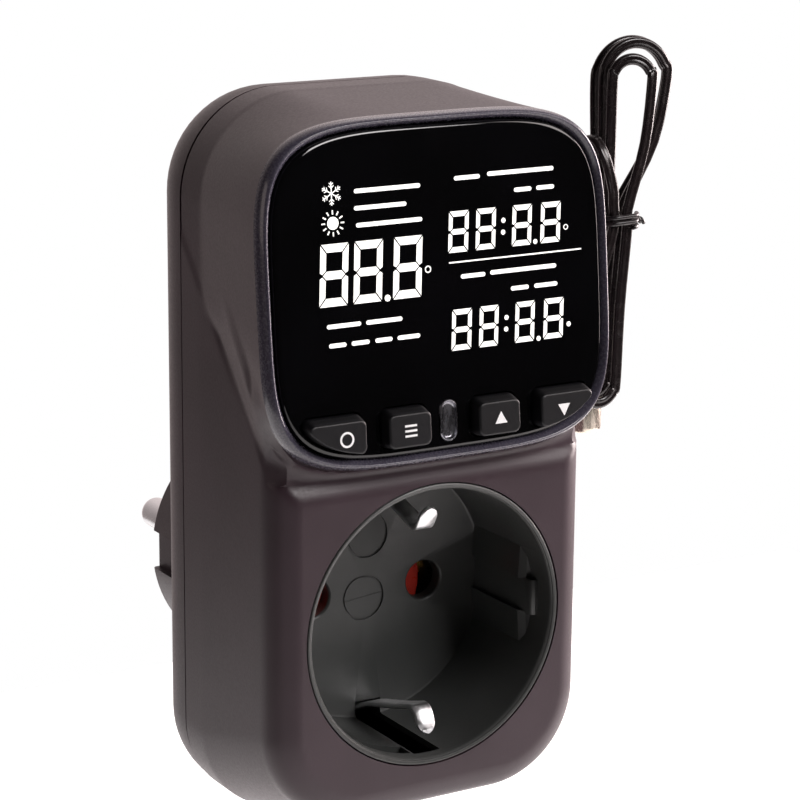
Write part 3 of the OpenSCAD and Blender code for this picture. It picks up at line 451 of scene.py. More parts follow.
def smooth_path(points, steps):
    """More points along a smooth curve through the given ones."""
    p = [np.array(q, float) for q in points]
    p = [2 * p[0] - p[1]] + p + [2 * p[-1] - p[-2]]
    out = []
    for i in range(1, len(p) - 2):
        for s in range(steps):
            t = s / steps
            out.append(0.5 * (2 * p[i] + (p[i + 1] - p[i - 1]) * t
                              + (2 * p[i - 1] - 5 * p[i] + 4 * p[i + 1] - p[i + 2]) * t * t
                              + (3 * p[i] - p[i - 1] - 3 * p[i + 1] + p[i + 2]) * t ** 3))
    return out + [p[-2]]


def sweep(name, path, profile, normal, material, steer=None):
    """A tube whose profile, given as (along the normal, across it), follows a path."""
    path = np.array(path)
    along = np.gradient(path, axis=0)
    along /= np.linalg.norm(along, axis=1)[:, None]
    n = np.array(normal, float)
    points = []
    for at, t in zip(path, along):
        if steer is not None:
            aim = np.array(steer, float)
            share = 0.3 * (1 - abs(aim @ t)) ** 2
            n = n + share * aim * (1 if aim @ n >= 0 else -1)
        n = n - (n @ t) * t
        n /= np.linalg.norm(n)
        side = np.cross(t, n)
        points += [at + a * n + b * side for a, b in profile]
    return outward(piece(name, points, ring_faces(len(path), len(profile)), material))


def circle(r, sides):
    turns = [2 * pi * i / sides for i in range(sides)]
    return [(r * cos(a), r * sin(a)) for a in turns]


def keep(made, slot, *nodes, body="housing"):
    """A finished piece rides on its body and hides the nodes that it stands for; its slot is not
    used.
    """
    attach(made, body)
    if nodes:
        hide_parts(*nodes)
    return made


# Camera, seen from the photograph's place

def make_camera():
    turn, rise, roll = [radians(a) for a in CAMERA_TURN]
    back = Vector((sin(turn) * cos(rise), -cos(turn) * cos(rise), sin(rise)))
    right = Vector((cos(turn), sin(turn), 0))
    up = back.cross(right)
    tilted_right = cos(roll) * right + sin(roll) * up
    tilted_up = -sin(roll) * right + cos(roll) * up
    data = bpy.data.cameras.new("camera")
    data.sensor_width = 36
    data.sensor_fit = "HORIZONTAL"
    data.lens = data.sensor_width * CAMERA_PIXELS / PHOTO_PIXELS
    data.clip_start = 0.01
    made = stand("camera", data)
    matrix = Matrix((tilted_right, tilted_up, back)).transposed().to_4x4()
    matrix.translation = Vector(place(*CAMERA_AT))
    made.matrix_world = matrix
    bpy.context.scene.camera = made


make_camera()

# The probe lead: a twin cord 1.7 mm wide that leaves the gland, is folded in a hank of three
# loops under a tie and ends in the steel probe

LEAD_W = 1.7
CORE_R = 0.47
SENSOR_ROUTE = [
    (30.5, 15, 60), (31.8, 15, 60.1), (32.9, 14.8, 61.1), (33.2, 14.4, 62.8), (33, 13.6, 64.4),
    (32.9, 12.4, 65.4), (32.9, 11, 65.6), (33, 9.7, 64.8), (33.4, 8.7, 63), (34, 8.3, 60.6),
    (34.6, 8.3, 58.4), (34.75, 8.3, 57.2), (34.75, 8.3, 56.3),
]
PROBE_ROUTE = [
    (36.55, 14.75, 51.1), (36.55, 14.75, 50.4), (36.6, 15.2, 49.4), (36.75, 16.1, 48.3),
    (36.85, 16.95, 47.3), (36.9, 17.4, 46.5), (36.9, 17.4, 45.9),
]
PROBE_AT = PROBE_ROUTE[-1][:2]
PROBE_TOP = 39.8
HANK_LOOPS = 3
HANK_RINGS = 24
HANK_FRONT = 8.3
HANK_PITCH = 2.15
LAYER_SHIFT = 0.6
TIE_Z = 53.7
TIE_HOLD = 1.5
WAIST_X = 34.75
WAIST_W = 2.55
LOW_X = 30
LOW_W = 6
LOW_Z = 26.6
LOW_RISE = 0.4
TOP_X = 35.5
TOP_W = 11.4
TOP_Z = 79
TOP_W_SHARES = (0.51, 0.88, 1)
TOP_DROP_SHARES = (0.18, 0, 0)


def run(from_x, to, end, t):
    """A run from just above or below the tie to the side of a turn."""
    from_z = TIE_Z + end * TIE_HOLD
    return (from_x + (to[0] - from_x) * sin(pi / 2 * t), from_z + (to[1] - from_z) * t)


def arc(centre, r, start, turn):
    a = radians(start + turn)
    return (centre[0] + r * cos(a), centre[1] + r * sin(a))


def hank_place(i):
    """Place of ring i of the hank across and up."""
    k, j = divmod(i, HANK_RINGS)
    r = LOW_W / 2
    low = (LOW_X + LAYER_SHIFT * k + r, LOW_Z + LOW_RISE * k + r)
    q = TOP_W * TOP_W_SHARES[k] / 2
    high = (TOP_X + q, TOP_Z - TOP_W * TOP_DROP_SHARES[k] - q)
    left = WAIST_X + LAYER_SHIFT * k
    right = left + WAIST_W
    if j <= 2:
        return run(left, (low[0] - r, low[1]), -1, j / 2)
    if j <= 8:
        return arc(low, r, 180, 30 * (j - 2))
    if j <= 10:
        return run(right, (low[0] + r, low[1]), -1, (10 - j) / 2)
    if j <= 13:
        return run(right, (high[0] + q, high[1]), 1, (j - 11) / 2)
    if j <= 21:
        return arc(high, q, 0, 22.5 * (j - 13))
    return run(left + LAYER_SHIFT, (high[0] - q, high[1]), 1, (23 - j) / 2)


def hank_depth(i):
    k, j = divmod(i, HANK_RINGS)
    t = max(0, min(1, (j - 10) / 11))
    return HANK_FRONT + HANK_PITCH * (k + (1 - cos(pi * t)) / 2)


def make_lead():
    rings = range(HANK_RINGS * HANK_LOOPS)
    hank = [(hank_place(i)[0], hank_depth(i), hank_place(i)[1]) for i in rings]
    points = SENSOR_ROUTE + hank + PROBE_ROUTE
    path = smooth_path(points, 4)
    web = LEAD_W / 2 - CORE_R
    profile = []
    for side in (1, -1):
        for i in range(9):
            a = radians(-125 + 250 * i / 8)
            profile.append((side * CORE_R * sin(a), side * (web + CORE_R * cos(a))))
    made = sweep("probe_lead_cord", path, profile, (0, 1, 0), LEAD_VINYL, steer=(0, 1, 0))
    return made, [place(*p) for p in path]


lead, lead_path = make_lead()


def make_tie():
    """A thin vinyl tie: two wraps round the bundle, its ends twisted together."""
    reach = LEAD_W / 2 + 0.1 + 0.4
    last = HANK_LOOPS - 1
    corners = [
        (WAIST_X, HANK_FRONT), (WAIST_X + WAIST_W, HANK_FRONT),
        (WAIST_X + WAIST_W + LAYER_SHIFT * last, HANK_FRONT + HANK_PITCH * last),
        (WAIST_X + LAYER_SHIFT * HANK_LOOPS, HANK_FRONT + HANK_PITCH * HANK_LOOPS),
    ]
    edges = [atan2(b[1] - a[1], b[0] - a[0]) - pi / 2
             for a, b in zip(corners, corners[1:] + corners[:1])]
    path = []
    for i in range(1, 10):
        a = edges[(i - 1) % 4]
        turn = (edges[i % 4] - a) % (2 * pi)
        for s in range(6):
            angle = a + turn * s / 5
            x, y = corners[i % 4]
            step = i - 1 + s / 6
            path.append((x + reach * cos(angle), y + reach * sin(angle),
                         TIE_Z + 0.85 * (step - 4.5) / 4))
    wraps = sweep("hank_tie_wraps", path, circle(0.36, 10), (0, 0, 1), TIE_VINYL)
    knot_x = WAIST_X + WAIST_W + LEAD_W / 2 + 0.1
    strands = []
    for side in (0, pi):
        twist = [
            (knot_x + 0.3 + 1.5 * t, HANK_FRONT + 0.3 * cos(7 * t + side),
             TIE_Z + 0.3 * sin(7 * t + side) - 0.5 * t * t)
            for t in np.linspace(0, 1, 22)
        ]
        strands.append(sweep("strand", twist, circle(0.27, 8), (0, 0, 1), TIE_VINYL))
    return carve(wraps, strands, "UNION")


def on_probe(a, z, b):
    """A point round the probe's upright axis."""
    return (PROBE_AT[0] + a, PROBE_AT[1] + b, z)


def make_sleeve():
    """The heat-shrunk sleeve that tapers from the probe to the lead."""
    top, low = 45.8, PROBE_TOP
    profile = [(0, low - 0.1), (2.2, low - 0.1), (2.42, low + 0.05), (2.42, low + 0.5),
               (2.36, low + 1.2), (2.2, low + 2), (1.9, low + 3), (1.6, low + 4),
               (1.35, low + 4.8), (1.12, low + 5.6), (1.05, top), (0, top)]
    return lathe("probe_shrink_sleeve", profile, (0, 0), 40, 50, on_probe, LEAD_VINYL)


def make_probe():
    """A drawn steel cap, rolled in near its mouth, with a flat closed end."""
    low, top, r = 19.8, PROBE_TOP, 2.5
    profile = [(0, low), (1.5, low), (1.95, low + 0.06), (2.3, low + 0.25), (2.46, low + 0.6),
               (r, low + 0.95)]
    for crimp in (top - 7.2, top - 2.4):
        profile += [(r, crimp - 0.7), (r - 0.1, crimp - 0.35), (r - 0.22, crimp),
                    (r - 0.1, crimp + 0.35), (r, crimp + 0.7)]
    profile += [(r, top - 0.15), (r - 0.15, top), (0, top)]
    return lathe("probe_steel_cap", profile, (0, 0), 56, 50, on_probe, PROBE_STEEL)


on_lead = [keep(make_tie(), "tie_vinyl", "hank_tie"),
           keep(make_sleeve(), "lead_vinyl", "probe_sleeve"),
           keep(make_probe(), "probe_steel", "probe_cap")]
keep(lead, "lead_vinyl", "sensor_lead", "lead_hank", "probe_lead")


# Key outlines, which the case front, the window and the keys share

KEY_ROW = 30.2
KEY_H = 5.4
KEY_PROUD = 1.8
KEY_GAP = 0.3
KEY_BACK = 4.4
KEYS = {
    "set": (-18.5, 9), "function": (-7.25, 7), "up": (7.25, 7), "down": (18.5, 9),
}


def key_outline(x, w, grow, top=0.0, side=0.0, bottom=0.0):
    """A key's outline across and up, kept inside the window's edge."""
    half_w, half_h = w / 2 + grow, KEY_H / 2 + grow
    shape = rounded(half_w, KEY_ROW - half_h, KEY_ROW + half_h, 1 + grow, 1 + grow, 6)
    dense = []
    for (a, b), (c, d) in zip(shape, shape[1:] + shape[:1]):
        n = max(1, int(dist((a, b), (c, d)) / 0.5))
        dense += [(x + a + (c - a) * i / n, b + (d - b) * i / n) for i in range(n)]
    inset = BEZEL_BAND + 1 - min(grow, KEY_GAP)
    a, b, n = BEZEL_A - inset, BEZEL_B - inset, BEZEL_ROUND
    kept = []
    for u, v in dense:
        low, high = 0.0, 1.0
        for _ in range(24):
            t = (low + high) / 2
            p, q = x + (u - x) * t, KEY_ROW + (v - KEY_ROW) * t
            inside = (abs(p) / a) ** n + (abs(q - BEZEL_CENTRE) / b) ** n < 1
            low, high = (t, high) if inside else (low, t)
        t = 1 if high == 1 else low
        p, q = x + (u - x) * t, KEY_ROW + (v - KEY_ROW) * t
        q -= (top if q > KEY_ROW else bottom) * (q - KEY_ROW) / half_h
        p -= side * (p - x) / half_w
        kept.append((p, q))
    return kept


# Case front

def round_rect(x, z, half_w, low, high, r_low, r_high):
    """Distance to a rounded outline, negative inside."""
    middle = (low + high) / 2
    r = np.where(z > middle, r_high, r_low)
    qx = np.abs(x) - half_w + r
    qz = np.abs(z - middle) - (high - low) / 2 + r
    out = np.hypot(np.maximum(qx, 0), np.maximum(qz, 0))
    return out + np.minimum(np.maximum(qx, qz), 0) - r


def squircle_distance(u, w):
    """Distance to the display's outline, good near the outline."""
    a, b, n = BEZEL_A, BEZEL_B, BEZEL_ROUND
    x, z = np.abs(u) + 1e-6, np.abs(w - BEZEL_CENTRE) + 1e-6
    size = (x / a) ** n + (z / b) ** n
    rho = size ** (1 / n)
    slope = size ** (1 / n - 1) * np.hypot((x / a) ** (n - 1) / a, (z / b) ** (n - 1) / b)
    return (rho - 1) / slope


def blend_min(a, b, k):
    """The smaller of two distances, with a fillet of about k where they meet."""
    h = np.maximum(k - np.abs(a - b), 0) / k
    return np.minimum(a, b) - h * h * k / 4


def flare(share):
    """Half width, low edge and low corners of the front, from the pad's edge to the side."""
    return (PAD_HALF_W + (FRONT_HALF_W - PAD_HALF_W) * share,
            -PAD_BOTTOM - (FRONT_BOTTOM - PAD_BOTTOM) * share,
            PAD_CORNER_R + (BOTTOM_R - PAD_CORNER_R) * share)


def case_distance(p):
    """Distance to the outside of the case front, negative inside."""
    x, y, z = p[:, 0], p[:, 1], p[:, 2]
    rise = np.clip(1 - y / FILLET_Y, 0, 0.999)
    half_w, low, r_low = flare(np.sqrt(1 - rise ** 2))
    back = np.clip((y - FILLET_Y) / (BAND_Y - FILLET_Y), 0, 1)
    half_w = half_w + (CASE_HALF_W - FRONT_HALF_W) * back
    low = low + (CASE_BOTTOM + FRONT_BOTTOM) * back
    high = NECK_TOP + 7 + (CASE_TOP - NECK_TOP - 7) * back
    neck = round_rect(x, z, half_w, low, high, r_low, 3 + (TOP_R - 3) * back)
    neck = -blend_min(-neck, y - PAD_STEP, 0.6)
    pad = round_rect(x, z, half_w, low, high, r_low, 3.0)
    slope = (PAD_STEP * (z - PAD_TOP) - PAD_SHOULDER * y) / hypot(PAD_STEP, PAD_SHOULDER)
    pad = -blend_min(-np.maximum(pad, -y), -slope, 0.9)
    tall = (z - (REACH - BEZEL_T) * sin(LEAN)) / cos(LEAN)
    front = (BEZEL_T - REACH) * cos(LEAN) + tall * sin(LEAN)
    t = np.clip((y - front) / (BAND_Y - front), -0.2, 1)
    root = round_rect(x, z, CASE_HALF_W, HEAD_ROOT, CASE_TOP, 10, TOP_R)
    head = (1 - t) * squircle_distance(x, tall) + t * root
    depth = y * cos(LEAN) - z * sin(LEAN) + REACH
    head = np.maximum(head, 0.7 - depth)
    fillet = 0.2 + 4.3 * np.clip((16 - y) / 10, 0, 1)
    whole = blend_min(blend_min(neck, pad, 0.7), head, fillet)
    return np.maximum(whole, y - (SEAM_Y + 1.5))


def settle_on(points, distance, rounds):
    """Moves points along the surface's own normal until the distance is nil."""
    h = 0.02
    for _ in range(rounds):
        value = distance(points)
        slope = np.stack([
            (distance(points + h * e) - distance(points - h * e)) / (2 * h) for e in np.eye(3)
        ], axis=1)
        size = np.maximum(np.sum(slope ** 2, axis=1), 0.2)
        step = (value / size)[:, None] * slope
        length = np.linalg.norm(step, axis=1)[:, None]
        points = points - step * np.minimum(1, 0.8 / np.maximum(length, 1e-9))
    return points


def case_outline(inset):
    return rounded(CASE_HALF_W - inset, CASE_BOTTOM + inset, CASE_TOP - inset, BOTTOM_R - inset,
                   TOP_R - inset)


def case_rings():
    """Rough closed forms of the body and of the display head."""
    body = [at_depth(y, case_outline(0)) for y in (SEAM_Y + 1.5, BAND_Y)]
    for i in range(5):
        turn = radians(18 * i)
        half_w, low, r_low = flare(cos(turn))
        body.append(at_depth(FILLET_Y * (1 - sin(turn)),
                             rounded(half_w, low, PAD_TOP + PAD_SHOULDER, r_low, 3)))
    head = [at_depth(BAND_Y, rounded(CASE_HALF_W, HEAD_ROOT, CASE_TOP, 10, TOP_R)),
            leaned(0.7, display_outline(0))]
    neck = [at_depth(BAND_Y, rounded(FRONT_HALF_W, 0, HEAD_ROOT + 10, 2, 2)),
            at_depth(PAD_STEP, rounded(PAD_HALF_W + 1, 0, NECK_TOP, 2, 2))]
    return body, head, neck


def cylinder_tool(r, front, back, at=(0, 0), steps=96):
    return lathe("tool", [(0, front), (r, front), (r, back), (0, back)], at, steps)


def make_case_front():
    made = join([loft("form", rings) for rings in case_rings()], "case_front_shell")
    net = made.modifiers.new("net", "REMESH")
    net.mode = "VOXEL"
    net.voxel_size = 0.6 * MM
    settle(made)
    count = len(made.data.vertices)
    flat = np.empty(count * 3)
    made.data.vertices.foreach_get("co", flat)
    points = flat.reshape(-1, 3) / MM - np.array([0, PAD_Y, 0])
    points = settle_on(points, case_distance, 9)
    made.data.vertices.foreach_set("co", ((points + np.array([0, PAD_Y, 0])) * MM).ravel())
    made.data.update()
    outward(made)
    far = 2 * CASE_TOP
    front = loft("front", [leaned(BEZEL_T - 20, rounded(far, -far, far, 1, 1, 1)),
                           leaned(BEZEL_T, rounded(far, -far, far, 1, 1, 1))])
    above = box("above", (-far, far), (-far, far), (PAD_TOP + PAD_SHOULDER + 1, far))
    carve(front, [above], "INTERSECT")
    inside = [
        loft("hollow", [
            at_depth(SEAM_Y + 2, case_outline(WALL)), at_depth(BAND_Y, case_outline(WALL)),
            at_depth(FILLET_Y, rounded(FRONT_HALF_W - WALL, WALL - FRONT_BOTTOM,
                                       NECK_TOP - WALL, BOTTOM_R - WALL, 3)),
            at_depth(PAD_STEP + 1.3, rounded(PAD_HALF_W, -PAD_BOTTOM, NECK_TOP - WALL,
                                             PAD_CORNER_R, 3)),
        ]),
        loft("hollow", [
            at_depth(BAND_Y, rounded(CASE_HALF_W - WALL, HEAD_ROOT + WALL, CASE_TOP - WALL, 8,
                                     TOP_R - WALL)),
            leaned(BEZEL_T - 1, display_outline(WALL)),
        ]),
    ]
    seam = box("seam", (-far, far), (SEAM_Y - SEAM_GAP, far), (-far, far))
    hole = cylinder_tool(RIM_R + 0.17, -5, 7, steps=128)
    gland = loft("tool", [[on_gland(a, x, b) for a, b in circle(2.1, 48)] for x in (20, 30)])
    pockets = [loft("pocket", [leaned(d, key_outline(x, w, 0.6)) for d in (4.15, 6.3)])
               for x, w in KEYS.values()]
    carve(made, [front] + inside + [seam, hole, gland] + pockets)
    skin(made, CASE_ABS)
    dress(made, True, 32)
    return made


def on_gland(a, x, b):
    """A point round the axis on which the lead's gland passes the case side."""
    return (x, GLAND_AT[0] + a, GLAND_AT[1] + b)


keep(make_case_front(), "case_plastic", "front_shell")


# Case rear

def boss_points():
    """Where the four case screws stand, in x and z."""
    sink, turn = 0.4, radians(40)
    points = []
    for side in (-1, 1):
        for end, edge, r in ((-1, -CASE_BOTTOM, BOTTOM_R), (1, CASE_TOP, TOP_R)):
            reach = r - WALL - BOSS_R + sink
            points.append((side * (CASE_HALF_W - r + reach * cos(turn)),
                           end * (edge - r + reach * sin(turn))))
    return points


def rear_rings(inset, start, back, steps=9):
    """Rings from the seam to the back, drawn in round the back's fillet."""
    rings = [at_depth(start, case_outline(inset))]
    for drawn, ahead in quarter(1, steps):
        rings.append(at_depth(back - BACK_ROUND * ahead, case_outline(inset + BACK_FILLET * drawn)))
    # One ring more on the flat back, so that its shading starts level
    rings.append(at_depth(back, case_outline(inset + BACK_FILLET + 0.4)))
    return rings


def make_case_rear():
    made = loft("case_rear_shell", rear_rings(0, SEAM_Y, BACK_Y))
    hollow = loft("tool", rear_rings(WALL, SEAM_Y - 1, BACK_Y - WALL))
    carve(made, [hollow])
    lip = loft("lip", [at_depth(y, case_outline(WALL + 0.1)) for y in (SEAM_Y - 2.5, SEAM_Y + 1)])
    inner = loft("tool", [at_depth(y, case_outline(WALL + 1)) for y in (SEAM_Y - 4, SEAM_Y + 3)])
    carve(lip, [inner])
    body = [(0, BACK_Y - 1), (PLUG_R + 0.8, BACK_Y - 1), (PLUG_R + 0.8, BACK_Y),
            (PLUG_R + 0.35, BACK_Y + 0.15), (PLUG_R + 0.1, BACK_Y + 0.4),
            (PLUG_R, BACK_Y + 0.9)]
    body += [(PLUG_R - drawn, PLUG_END - ahead) for drawn, ahead in quarter(0.7, 5)]
    body.append((0, PLUG_END))
    bosses = [cylinder_tool(BOSS_R + 0.3, SEAM_Y + 0.4, BACK_Y - WALL, p, 32)
              for p in boss_points()]
    carve(made, [lip, lathe("body", body)] + bosses, "UNION")
    groove_w, groove_z = 4.3, 18.6
    tools = [cylinder_tool(PLUG_HOLLOW_R, BACK_Y - WALL - 1, PLUG_END - 2)]
    for side in (-1, 1):
        notch = sorted((side * (PLUG_R - 1.4), side * (PLUG_R + 2)))
        tools.append(box("tool", notch, (BACK_Y + 1, PLUG_END + 1), (-3, 3)))
        groove = sorted((side * (groove_z - 0.5), side * (groove_z + 0.5)))
        tools.append(box("tool", (-groove_w / 2, groove_w / 2), (BACK_Y - WALL - 1, PLUG_END - 2),
                         groove))
        tools.append(cylinder_tool(PIN_R + 0.1, PLUG_END - 3, PLUG_END + 1, (side * PIN_X, 0), 48))
    for p in boss_points():
        tools.append(cylinder_tool(1.5, SEAM_Y - 1, BACK_Y, p, 32))
        tools.append(cylinder_tool(2.7, SCREW_SEAT, BACK_Y + 1, p, 48))
    carve(made, tools)
    skin(made, CASE_ABS)
    return bevel(made, 0.12, 38)


keep(make_case_rear(), "case_plastic", "rear_cover")


# Geometry Nodes: one screw or pin repeated at given places

def repeat(name, source, places, material):
    """Copies of a source piece, made at the case's zero, at places in millimetres."""
    mesh = bpy.data.meshes.new(name)
    spots = [[c * MM for c in p] for p in places]
    mesh.from_pydata(spots, [], [])
    made = stand(name, mesh)
    tree = bpy.data.node_groups.new(name, "GeometryNodeTree")
    face = tree.interface
    face.new_socket("Geometry", in_out="INPUT", socket_type="NodeSocketGeometry")
    piece_in = face.new_socket("Piece", in_out="INPUT", socket_type="NodeSocketObject")
    skin_in = face.new_socket("Finish", in_out="INPUT", socket_type="NodeSocketMaterial")
    face.new_socket("Geometry", in_out="OUTPUT", socket_type="NodeSocketGeometry")
    given = add(tree, "NodeGroupInput")
    shape = add(tree, "GeometryNodeObjectInfo", {"Object": given.outputs["Piece"]})
    spread = add(tree, "GeometryNodeInstanceOnPoints", {
        "Points": given.outputs["Geometry"], "Instance": shape.outputs["Geometry"]})
    real = add(tree, "GeometryNodeRealizeInstances", {"Geometry": spread.outputs["Instances"]})
    skin = add(tree, "GeometryNodeSetMaterial", {
        "Geometry": real.outputs["Geometry"], "Material": given.outputs["Finish"]})
    add(tree, "NodeGroupOutput", {"Geometry": skin.outputs["Geometry"]})
    modifier = made.modifiers.new("repeat", "NODES")
    modifier.node_group = tree
    modifier[piece_in.identifier] = source
    modifier[skin_in.identifier] = material
    settle(made)
    bpy.data.objects.remove(source)
    dress(made, True, 40)
    return made


def make_case_screws():
    """Pan head screws with a cross recess, down in the rear cover's holes."""
    seat, head_r, head_t = SCREW_SEAT, 2.5, 1.6
    profile = [(0, seat - 10), (0.6, seat - 10), (1.25, seat - 9), (1.25, seat - 0.1),
               (1.5, seat), (head_r - 0.15, seat), (head_r, seat + 0.15),
               (head_r, seat + 0.6), (head_r - 0.25, seat + 1.1), (head_r - 0.8, seat + 1.45),
               (head_r - 1.5, seat + head_t), (0, seat + head_t)]
    screw = lathe("screw", profile, steps=40)
    slot_l, slot_w = 1.45, 0.32
    cross = [box("tool", (-a, a), (seat + 0.7, seat + 3), (-b, b))
             for a, b in ((slot_l, slot_w), (slot_w, slot_l))]
    carve(screw, cross)
    return repeat("case_screws_cross_head", screw, [(x, 0, z) for x, z in boss_points()], ZINC)


keep(make_case_screws(), "screw_steel", "case_screws")


# Display head

def capsule(half_w, half_h, cz, steps=12):
    """An upright outline with fully round ends."""
    return rounded(half_w, cz - half_h, cz + half_h, half_w, half_w, steps)


def make_bezel():
    """The display's raised frame: a crest with a slope to either side."""
    profile = [(0, 2.2), (0.02, 1.7), (0.08, 1.2), (0.2, 0.75), (0.36, 0.38), (0.52, 0.14),
               (0.66, 0.02), (0.78, 0.0), (0.9, 0.08), (1.1, 0.32), (1.3, 0.62), (1.48, 0.95),
               (1.55, 1.3), (1.55, 2.2)]
    rings = [leaned(depth, display_outline(inset, 160)) for inset, depth in profile]
    points = [p for ring in rings for p in ring]
    made = piece("display_bezel_ring", points, ring_faces(len(rings), 160, True), BEZEL_PAINT)
    outward(made)
    dress(made, True, 50)
    return made


def make_window():
    """The acrylic window: a soft rounded rim and cut-outs with lit edges."""
    round_off, drop, inset = 0.7, 0.5, BEZEL_BAND + 0.1
    rings = [(BEZEL_T, inset)]
    rings += [(WINDOW_DEPTH + drop * ahead, inset + round_off * drawn)
              for drawn, ahead in quarter(1, 6)]
    rings.append((WINDOW_DEPTH, inset + round_off + 0.1))
    rings = [leaned(depth, display_outline(drawn, 160)) for depth, drawn in rings]
    made = loft("display_window_pane", rings)
    tools = [loft("tool", [leaned(d, key_outline(x, w, KEY_GAP)) for d in (-1, 3)])
             for x, w in KEYS.values()]
    tools.append(loft("tool", [leaned(d, capsule(1.55, 3.05, KEY_ROW)) for d in (-1, 3)]))
    carve(made, tools)
    skin(made, WINDOW_ACRYLIC)
    bevel(made, 0.16, 45)
    dress(made, True, 45)
    # The large flat faces set the shading, so that the mirror finish shows no streaks
    modifier = made.modifiers.new("normals", "WEIGHTED_NORMAL")
    modifier.keep_sharp = True
    return settle(made)


def make_key(name, x, w):
    """A key with a flange behind the window, a sloped upper side and softly rounded edges."""
    rings = [leaned(KEY_BACK + 1, key_outline(x, w, 0.5)), leaned(KEY_BACK, key_outline(x, w, 0.5)),
             leaned(KEY_BACK, key_outline(x, w, 0)), leaned(0.1, key_outline(x, w, 0))]
    steps, lip = 5, 0.32
    for i in range(1, 4):
        t = i / 3
        depth = 0.1 - t * (KEY_PROUD - lip + 0.1)
        rings.append(leaned(depth, key_outline(x, w, 0, 0.62 * t ** 1.2, 0.12 * t, 0.05 * t)))
    for i in range(1, steps + 1):
        turn = pi / 2 * i / steps
        drawn = lip * (1 - cos(turn))
        rings.append(leaned(lip - KEY_PROUD - lip * sin(turn), key_outline(
            x, w, 0, 0.62 + drawn, 0.12 + drawn, 0.05 + drawn)))
    rings.append(leaned(-KEY_PROUD, key_outline(x, w, 0, 1, 0.5, 0.43)))
    return loft(name + "_key_cap", rings, KEY_ABS, 60)


def plates(name, shapes, front, back, material):
    """Thin flat plates on the display, one for each outline."""
    points, faces = [], []
    for shape in shapes:
        start, n = len(points), len(shape)
        points += leaned(front, shape) + leaned(back, shape)
        faces += [tuple(start + i for i in range(n)), tuple(start + n + i for i in range(n))[::-1]]
        faces += [(start + i, start + (i + 1) % n, start + n + (i + 1) % n, start + n + i)
                  for i in range(n)]
    return outward(piece(name, points, faces, material, smooth=False))


def disc(u, w, r, sides=24):
    return [(u + a, w + b) for a, b in circle(r, sides)]


def bar(u0, w0, u1, w1, thick):
    """A straight stroke between two places."""
    length = dist((u0, w0), (u1, w1))
    nu, nw = -(w1 - w0) / length * thick / 2, (u1 - u0) / length * thick / 2
    return [(u0 + nu, w0 + nw), (u0 - nu, w0 - nw), (u1 - nu, w1 - nw), (u1 + nu, w1 + nw)]


def spoke(u, w, start, end, turn, thick):
    """A straight stroke out from a centre, at a turn in degrees."""
    c, s = cos(radians(turn)), sin(radians(turn))
    return bar(u + start * c, w + start * s, u + end * c, w + end * s, thick)


def ring_plates(u, w, r, thick, sides=20):
    """A round line as short strokes that meet."""
    outer, inner = circle(r + thick / 2, sides), circle(r - thick / 2, sides)
    return [[(u + outer[i][0], w + outer[i][1]), (u + outer[j][0], w + outer[j][1]),
             (u + inner[j][0], w + inner[j][1]), (u + inner[i][0], w + inner[i][1])]
            for i in range(sides) for j in [(i + 1) % sides]]


KEY_TOP = -KEY_PROUD
KEY_SIGN_W = KEY_ROW - 0.35
KEY_SIGNS = {
    "set": ring_plates(-17.3, KEY_SIGN_W, 0.95, 0.3),
    "function": [bar(-8.2, KEY_SIGN_W + d, -6.3, KEY_SIGN_W + d, 0.3) for d in (-0.7, 0, 0.7)],
    "up": [[(6.35, KEY_SIGN_W - 0.75), (8.35, KEY_SIGN_W - 0.75), (7.35, KEY_SIGN_W + 0.95)]],
    "down": [[(16.9, KEY_SIGN_W + 0.75), (17.9, KEY_SIGN_W - 0.95), (18.9, KEY_SIGN_W + 0.75)]],
}


def make_lens():
    """The smoked lens of the indicator: a rim round a shallow dished face."""
    profile = [(-0.5, 5.4), (-0.5, 4.4), (0, 4.4), (0, 0.35), (0.05, 0.12), (0.16, 0.02),
               (0.26, 0.04), (0.34, 0.2), (0.42, 0.42), (0.62, 0.5), (0.9, 0.52), (1.1, 0.5)]
    rings = [leaned(depth, capsule(1.45 - inset, 2.95 - inset, KEY_ROW))
             for inset, depth in profile]
    return loft("indicator_lens_body", rings, LENS_ACRYLIC, 50)


keep(make_bezel(), "bezel_plastic", "display_bezel")
keep(make_window(), "window_acrylic", "display_window")
keep(make_lens(), "lens_acrylic", "indicator_lens")
for key, spot in KEYS.items():
    keep(make_key(key, *spot), "key_plastic", key + "_key", body=key + "_button")
    keep(plates(key + "_key_sign", KEY_SIGNS[key], KEY_TOP - 0.03, KEY_TOP + 0.1, KEY_PRINT_PAINTED_GLOW),
         "key_plastic", body=key + "_button")


# Display marks: plain eights, points, rings, a snowflake, a sun and dashes

SLANT = tan(radians(4.2))
MARK_FRONT = WINDOW_DEPTH - 0.02
MARK_BACK = WINDOW_DEPTH + 0.05
BIG_DIGITS = [(-19.5, -14.55), (-14.25, -9.2), (-8.06, -2.96)]
UPPER_DIGITS = [(1.01, 4.62), (5.45, 9.06), (11.41, 15.0), (16.15, 19.83)]
LOWER_DIGITS = [(0.91, 4.51), (5.4, 8.91), (11.33, 14.93), (16.1, 19.79)]
# Left and right end of each dash, by its height
DASHES = {
    62.9: [(-13.4, -3)], 60.6: [(-13.5, -5.3)], 58.3: [(-13.3, -2.9)],
    45.05: [(-18.5, -13.2), (-12.4, -6.7)],
    42.45: [(-18.3, -15.6), (-14.8, -12), (-11.1, -8.4), (-7.6, -4)],
    63.4: [(2.4, 6.6)], 63.6: [(7.8, 18.8)], 61.05: [(12.1, 15), (15.8, 18.8)],
    49.85: [(2.9, 6.9)], 49.95: [(7.7, 18.7)], 47.4: [(11, 14), (14.9, 18.8)],
}


